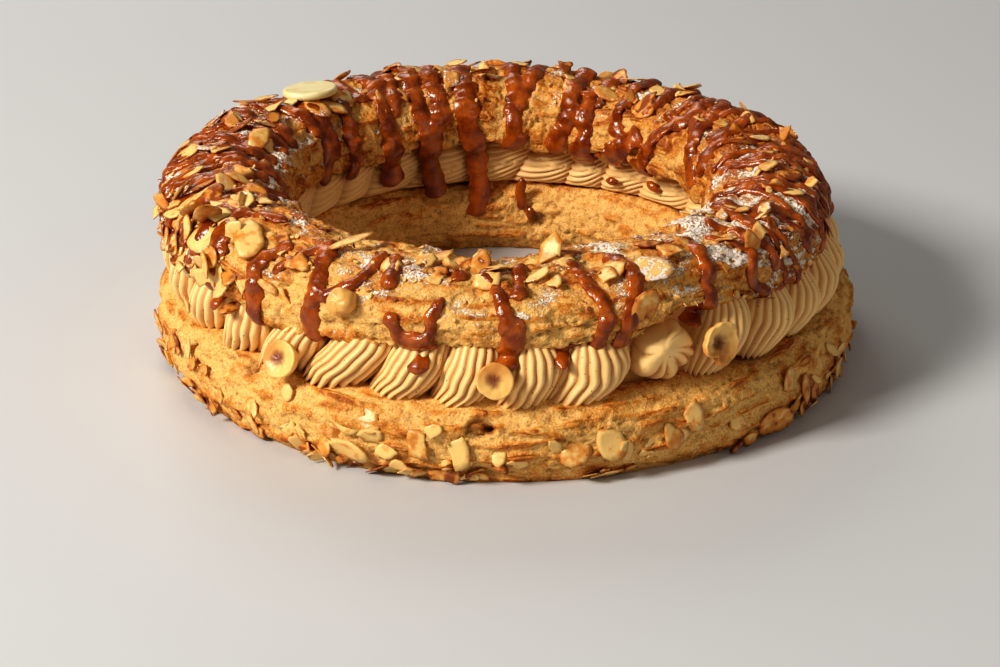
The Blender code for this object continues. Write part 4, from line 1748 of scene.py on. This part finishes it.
@dataclass
class AlmondTopping:
    """Toasted almond flakes over the lid and round the foot of the base."""

    drape: Drape
    base: Sheet
    lid_scatters: tuple[Scatter, ...] = (
        Scatter(54, -149.0, 9.0, 9.0, 56.0, 0.42, sugar=0.4),
        Scatter(60, 168.0, 17.0, 4.0, 62.0, 0.42, sugar=0.5),
        Scatter(46, 112.0, 22.0, 14.0, 66.0, 0.44),
        Scatter(46, 42.0, 24.0, 10.0, 64.0, 0.46),
        Scatter(34, -20.0, 17.0, 8.0, 60.0, 0.5, (6.0, 11.0), sugar=0.5),
        Scatter(16, -90.0, 18.0, 33.0, 56.0, 0.4),
    )
    base_scatters: tuple[Scatter, ...] = (
        Scatter(16, -109.0, 12.0, 1.0, 12.0, 0.25, (5.0, 9.0), 2.0, 0.05, -1.0),
        Scatter(6, -78.0, 12.0, 1.0, 20.0, 0.3, (4.0, 8.0), 3.0, 0.05, -1.0),
        Scatter(22, -26.0, 8.0, 1.0, 24.0, 0.5, (6.0, 12.0), 1.5, 0.1, -1.0),
        Scatter(70, 90.0, 100.0, 1.0, 26.0, 0.35, (7.0, 13.0), 3.0, 0.05, -1.0),
        Scatter(30, -160.0, 14.0, 1.0, 26.0, 0.3, (7.0, 13.0), 2.0, 0.05, -1.0),
    )
    crumb_scatters: tuple[Scatter, ...] = (
        Scatter(110, -148.0, 24.0, 0.0, 60.0, 0.3, (1.6, 4.0), 1.0, 0.2, 0.2),
        Scatter(60, -90.0, 24.0, 2.0, 56.0, 0.3, (1.6, 3.6), 1.0, 0.2, 0.2),
        Scatter(100, -20.0, 26.0, 4.0, 60.0, 0.4, (1.6, 4.2), 1.0, 0.2, 0.2),
        Scatter(120, 90.0, 50.0, 8.0, 70.0, 0.4, (1.6, 4.2), 1.0, 0.2, 0.2),
    )

    def on_lid(self, scatters: Sequence[Scatter], placed: Sequence[PlacedFlake], seed: int) -> Flakes:
        """Flakes on the lid: the placed ones, then scattered ones, most of them flat and a few on edge."""
        source = np.random.default_rng(seed)
        rows = [self.scattered(scatter, source) for scatter in scatters]
        rows.append(np.array([flake.row() for flake in placed]))
        table = np.concatenate(rows)
        point, normal = self.drape.at(np.radians(table[:, 0]), table[:, 1])
        return self.stuck(table, point, normal, np.roll(normal, 1, axis=1), seed)

    def on_base(self, placed: Sequence[PlacedFlake], seed: int) -> Flakes:
        """Flakes round the lower half of the base: the placed ones, then scattered ones."""
        source = np.random.default_rng(seed)
        rows = [self.scattered(scatter, source) for scatter in self.base_scatters]
        rows.append(np.array([flake.row() for flake in placed]))
        table = np.concatenate(rows)
        azimuth = np.radians(table[:, 0])
        half = self.base.points[: self.base.points.shape[0] // 2]
        levels = half[..., 2].mean(1)
        radii = np.hypot(half[:, 0, 0], half[:, 0, 1])
        outer = np.where(radii > radii.max() - 12.0 * MM)[0]
        row = np.interp(table[:, 1] * MM, levels[outer], outer.astype(float))
        point = self.base.sample(self.base.points, row, azimuth)
        normal = self.base.sample(self.base.normals(), row, azimuth)
        normal = normal / np.linalg.norm(normal, axis=1, keepdims=True)
        return self.stuck(table, point, normal, np.array([[0.0, 0.0, 1.0]]) + 0.0 * normal, seed)

    @staticmethod
    def scattered(scatter: Scatter, source: np.random.Generator) -> Array:
        """Draws a scatter's flakes, in the same columns as a placed flake's row."""
        count = scatter.count
        place = source.beta(1.0, scatter.sink, count) * (scatter.high - scatter.low) + scatter.low
        length = source.uniform(*scatter.length, count)
        steep = source.random(count) < scatter.steep
        columns = (
            source.normal(scatter.azimuth, scatter.spread, count),
            place,
            length,
            length * source.uniform(0.45, 0.82, count),
            source.uniform(0.0, 360.0, count),
            np.where(steep, source.uniform(20.0, 60.0, count), source.normal(0.0, 9.0, count)),
            np.clip(source.normal(scatter.toast + 0.06, 0.34, count), -0.2, 1.15),
            scatter.sugar - source.uniform(0.0, 1.1, count),
            source.random(count) < 0.72,
        )
        return np.stack([np.asarray(column, float) for column in columns], axis=-1)

    @staticmethod
    def stuck(table: Array, point: Array, normal: Array, start: Array, seed: int) -> Flakes:
        """Lays flakes on their places, each turned from a starting way and tipped up by its tilt.

        Args:
            table: a row for each flake, as PlacedFlake.row gives them.
            point: where each one lies.
            normal: the surface's normals there.
            start: the way that a turn of 0 points.
            seed: seed of the bends and outlines.

        Returns:
            The batch.
        """
        source = np.random.default_rng(seed + 7)
        count = len(table)
        length, tilt = table[:, 2] * MM, np.radians(table[:, 5])
        flat_normal, way = tipped(normal, start, tilt, np.radians(table[:, 4]))
        lift = (0.30 * MM + 0.06 * length) * source.uniform(0.8, 1.3, count)
        lift = lift + 0.4 * length * np.abs(np.sin(tilt))
        return Flakes(
            point=point + normal * lift[:, None],
            normal=flat_normal,
            way=way,
            length=length,
            width=table[:, 3] * MM,
            bend=source.uniform(-0.4, 0.5, count) * MM * length / (11.0 * MM),
            snapped=table[:, 8] > 0.5,
            toast=table[:, 6],
            sugar=table[:, 7],
            seed=seed,
        )

    def build(self) -> None:
        """Builds the two batches of flakes."""
        finish = FlakeFinish("almond_flake").material()
        self.on_lid(self.lid_scatters, LID_FLAKES, 61).build("almond_flakes_lid", finish)
        self.on_base(BASE_FLAKES, 62).build("almond_flakes_base", finish)
        crumbs = self.on_lid(self.crumb_scatters, LID_FLAKES[:1], 63)
        crumbs.outline = 7
        crumbs.build("almond_crumbs", finish)


# ---------------------------------------------------------------------------
# Hazelnuts and the chocolate disc
# ---------------------------------------------------------------------------


@dataclass(frozen=True)
class Seat:
    """Where a small piece stands: its place round the ring, and how far its face is tipped up."""

    azimuth: float
    radius: float
    height: float
    lift: float

    def matrix(self) -> Matrix:
        """The seat's frame, with its Z axis along the piece's own axis."""
        azimuth, lift = math.radians(self.azimuth), math.radians(self.lift)
        level = Vector((math.cos(azimuth), math.sin(azimuth), 0.0))
        outward = level * math.cos(lift) + Vector((0.0, 0.0, math.sin(lift)))
        place = level * self.radius + Vector((0.0, 0.0, self.height))
        return Matrix.Translation(place) @ outward.to_track_quat("Z", "Y").to_matrix().to_4x4()


@dataclass(frozen=True)
class NutHalf:
    """Half a roasted hazelnut: a domed back, a rounded rim and a shallow brown hollow in its cut face."""

    node: str
    seat: Seat
    across: float
    depth: float
    hollow: float
    ragged: float
    notch: float
    seed: int

    def build(self, material: bpy.types.Material, columns: int = 72) -> None:
        """Builds the half as a turned form with an uneven rim.

        The back is a quarter ellipse. The face dips by hollow * (1 - s^2)^2, where s is the share of its radius.
        """
        half = 0.5 * self.across
        turn = np.arange(columns) / columns * TAU
        back = np.linspace(0.08, 1.0, 16)
        face = np.linspace(0.97, 0.04, 22)
        out = np.concatenate([np.sin(0.5 * math.pi * back), face])[:, None]
        level = np.concatenate(
            [-self.depth * np.cos(0.5 * math.pi * back), 0.5 * MM * np.sqrt(np.maximum(1 - ((face - 0.9) / 0.1).clip(0, 1) ** 2, 0))]
        )[:, None]
        inside = np.concatenate([np.zeros(len(back)), np.ones(len(face))])[:, None]
        source = np.random.default_rng(self.seed)
        phases = source.uniform(0.0, TAU, 5)
        uneven = waves(turn, (2, 3, 5, 8, 13), phases, (0.035, 0.025, 0.018, 0.014, 0.010)) * self.ragged
        uneven = uneven - self.notch * bell(turned_gap(turn, -2.2), 0.30)
        radius = half * out * (1.0 + uneven[None, :])
        dip = self.hollow * (1.0 - out**2) ** 2 * inside
        crumple = np.sin(5.0 * turn[None, :] + 9.0 * out + phases[0]) * np.sin(3.0 * turn[None, :] - 5.0 * out)
        rough = self.ragged * 0.22 * MM * crumple * inside
        height = level - dip + rough + 0.0 * radius
        points = np.stack([radius * np.cos(turn), radius * np.sin(turn), height], -1)
        off_centre = np.hypot(out * np.cos(turn) + 0.10, out * np.sin(turn) - 0.04)
        heart = inside * ease(off_centre + 0.04 * np.sin(3.0 * turn + phases[1])[None, :], 0.80, 0.02)
        roast = (0.35 + 0.5 * np.sin(turn + phases[2])[None, :]) * np.ones_like(out) + 0.3 * (1.0 - inside)
        place_nut(self.node, self.seat, points, {"heart": heart + 0.0 * radius, "roast": roast}, material)


def place_nut(node: str, seat: Seat, points: Array, fields: dict[str, Array], material: bpy.types.Material) -> None:
    """Closes a turned grid, moves it to its seat and dresses it for its node."""
    rows, columns = points.shape[:2]
    body = np.concatenate([points[0].mean(0)[None], points.reshape(-1, 3), points[-1].mean(0)[None]])
    frame = np.array(seat.matrix())
    body = body @ frame[:3, :3].T + frame[:3, 3]
    faces = capped_faces(rows, columns)
    if signed_volume(body - frame[:3, 3], faces) < 0.0:
        faces = faces[:, ::-1]
    values = {name: np.concatenate([[grid[0].mean()], grid.ravel(), [grid[-1].mean()]]) for name, grid in fields.items()}
    dress(link_mesh(f"{node}_detail", body, faces, values), material, "roasted_hazelnut", node)


@dataclass
class Garnish:
    """The split hazelnuts on the cream, the one on the lid, and the white chocolate disc."""

    halves: tuple[NutHalf, ...] = (
        NutHalf("hazelnut_half_1", Seat(-126.7, 136.2 * MM, 37.2 * MM, 22.0), 14.2 * MM, 6.2 * MM, 1.0 * MM, 0.5, 0.0, 3),
        NutHalf("hazelnut_half_2", Seat(-91.7, 136.2 * MM, 41.2 * MM, 12.0), 13.4 * MM, 6.2 * MM, 0.7 * MM, 0.4, 0.10, 4),
        NutHalf("hazelnut_half_3", Seat(-55.7, 136.2 * MM, 45.5 * MM, 8.0), 15.4 * MM, 6.4 * MM, 2.6 * MM, 1.4, 0.30, 5),
    )
    lid_seat: Seat = Seat(-116.3, 131.2 * MM, 63.2 * MM, 22.0)
    lid_across: float = 11.4 * MM
    lid_depth: float = 5.2 * MM
    disc_seat: Seat = Seat(140.0, 106.5 * MM, 79.2 * MM, 84.0)
    disc_radius: float = 11.5 * MM
    disc_thickness: float = 3.0 * MM

    def lid_nut(self, material: bpy.types.Material) -> None:
        """A whole round of nut that lies in the lid's crust, domed side out."""
        columns = 56
        turn = np.arange(columns) / columns * TAU
        climb = np.linspace(-0.46, 0.485, 26)[:, None] * math.pi
        rise = np.sign(climb) * np.abs(np.sin(climb)) ** 0.8
        out = np.cos(climb) ** 0.75
        uneven = 0.90 + waves(turn, (2, 3, 5, 8), (0.4, 1.9, 4.0, 2.2), (0.07, 0.05, 0.035, 0.02))[None, :]
        radius = 0.5 * self.lid_across * out * uneven
        lumps = 0.07 * np.sin(2.0 * turn + 3.0 * out) + 0.05 * np.sin(5.0 * turn - 6.0 * out)
        height = self.lid_depth * (0.80 * rise + lumps * out)
        points = np.stack([radius * np.cos(turn), radius * np.sin(turn), height + 0.0 * radius], -1)
        fields = {"heart": np.full(radius.shape, 0.04), "roast": np.full(radius.shape, 0.60)}
        place_nut("hazelnut_lid", self.lid_seat, points, fields, material)

    def disc(self) -> None:
        """The disc: flat faces with a rounded edge, pressed a little into the lid."""
        turn = np.arange(96) / 96 * TAU
        half = 0.5 * self.disc_thickness
        edge = np.linspace(-0.5 * math.pi, 0.5 * math.pi, 12)
        flat = np.array([0.25, 0.6, 0.85])
        out = np.concatenate([flat * self.disc_radius, self.disc_radius - half * 0.8 * (1 - np.cos(edge)), flat[::-1] * self.disc_radius])
        level = np.concatenate([np.full(3, -half), half * np.sin(edge), np.full(3, half)])
        radius = out[:, None] * (1.0 + 0.006 * np.sin(2.0 * turn + 1.0) + 0.004 * np.sin(5.0 * turn))[None, :]
        height = level[:, None] + 0.0 * radius
        points = np.stack([radius * np.cos(turn), radius * np.sin(turn), height], -1)
        rows, columns = points.shape[:2]
        body = np.concatenate([points[0].mean(0)[None], points.reshape(-1, 3), points[-1].mean(0)[None]])
        frame = np.array(self.disc_seat.matrix())
        faces = capped_faces(rows, columns)
        if signed_volume(body, faces) < 0.0:
            faces = faces[:, ::-1]
        piece = link_mesh("chocolate_disc_detail", body @ frame[:3, :3].T + frame[:3, 3], faces)
        dress(piece, ChocolateFinish().material(), "ivory_chocolate", "chocolate_disc")

    def build(self) -> None:
        """Builds the nuts and the disc."""
        material = NutFinish().material()
        for half in self.halves:
            half.build(material)
        self.lid_nut(material)
        self.disc()


# ---------------------------------------------------------------------------
# Stage: floor, lights and camera
# ---------------------------------------------------------------------------


@dataclass
class Studio:
    """A pale floor, a broad key light from the left, a weak fill, and the camera."""

    focal_length: float = 93.6
    distance: float = 1.045
    elevation: float = math.radians(23.6)
    roll: float = math.radians(0.36)
    aim: tuple[float, float, float] = (-2.4 * MM, 0.0, 0.0)
    floor_size: float = 12.0

    def floor(self) -> None:
        """A wide pale floor that the ring stands on."""
        half = self.floor_size / 2.0
        corners = np.array([(-half, -half, 0.0), (half, -half, 0.0), (half, half, 0.0), (-half, half, 0.0)])
        ground = link_mesh("floor", corners, np.array([[0, 1, 2, 3]]))
        bench = Bench("pale_floor")
        cloud = bench.noise(0.25, 2.0)
        bench.set(Base_Color=bench.mix(cloud, tint(204, 206, 208), tint(208, 210, 212)), Roughness=0.55)
        ground.data.materials.append(bench.material)
        ground.location.z = -0.05 * MM

    def softbox(self, name: str, place: Vector, size: float, power: float, colour: Colour) -> None:
        """A square soft light that looks at the ring."""
        light = bpy.data.lights.new(name, "AREA")
        light.size = size
        light.energy = power
        light.color = colour
        lamp = bpy.data.objects.new(name, light)
        lamp.location = place
        lamp.rotation_euler = (Vector((0.0, 0.0, 0.04)) - place).to_track_quat("-Z", "Y").to_euler()
        bpy.context.scene.collection.objects.link(lamp)

    def lights(self) -> None:
        """Key from the left and a little in front, fill from the right, and a dim pale world."""
        self.softbox("key", Vector((-2.16, -1.30, 1.84)), 0.80, 80.0, (1.0, 0.955, 0.90))
        self.softbox("fill", Vector((0.9, -1.2, 0.8)), 1.0, 2.0, (1.0, 0.97, 0.93))
        self.softbox("back", Vector((-0.5, 1.2, 1.1)), 0.7, 4.5, (1.0, 0.97, 0.92))
        world = bpy.data.worlds.new("studio")
        world.use_nodes = True
        world.node_tree.nodes["Background"].inputs["Color"].default_value = (0.98, 0.92, 0.84, 1.0)
        world.node_tree.nodes["Background"].inputs["Strength"].default_value = 0.16
        bpy.context.scene.world = world

    def camera(self) -> None:
        """The camera, aimed at the ring from the front and above."""
        lens = bpy.data.cameras.new("camera")
        lens.lens = self.focal_length
        lens.sensor_width = 36.0
        lens.clip_start = 0.01
        back = Vector((0.0, -math.cos(self.elevation), math.sin(self.elevation)))
        eye = bpy.data.objects.new("camera", lens)
        turn = (-back).to_track_quat("-Z", "Y").to_matrix().to_4x4()
        place = Matrix.Translation(Vector(self.aim) + back * self.distance)
        eye.matrix_world = place @ turn @ Matrix.Rotation(self.roll, 4, "Z")
        bpy.context.scene.collection.objects.link(eye)
        bpy.context.scene.camera = eye

    def build(self) -> None:
        """Sets the whole stage."""
        self.floor()
        self.lights()
        self.camera()
        bpy.context.scene.view_settings.view_transform = "Standard"
        bpy.context.scene.view_settings.look = "High Contrast"


def main() -> None:
    """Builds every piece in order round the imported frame."""
    logging.basicConfig(level=logging.INFO, format="%(name)s %(message)s")
    for old in list(bpy.data.objects):
        bpy.data.objects.remove(old, do_unlink=True)
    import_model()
    Studio().build()
    base = ChouxBase().build()
    lid = ChouxLid()
    lid_surface = lid.build()
    cream = CreamFinish().material()
    PipedShells().build(lid, cream)
    CreamCore().build(lid, cream)
    Garnish().build()
    drape = Drape(lid, lid_surface)
    Caramel(drape).build()
    AlmondTopping(drape, base).build()


if __name__ == "__main__":
    main()
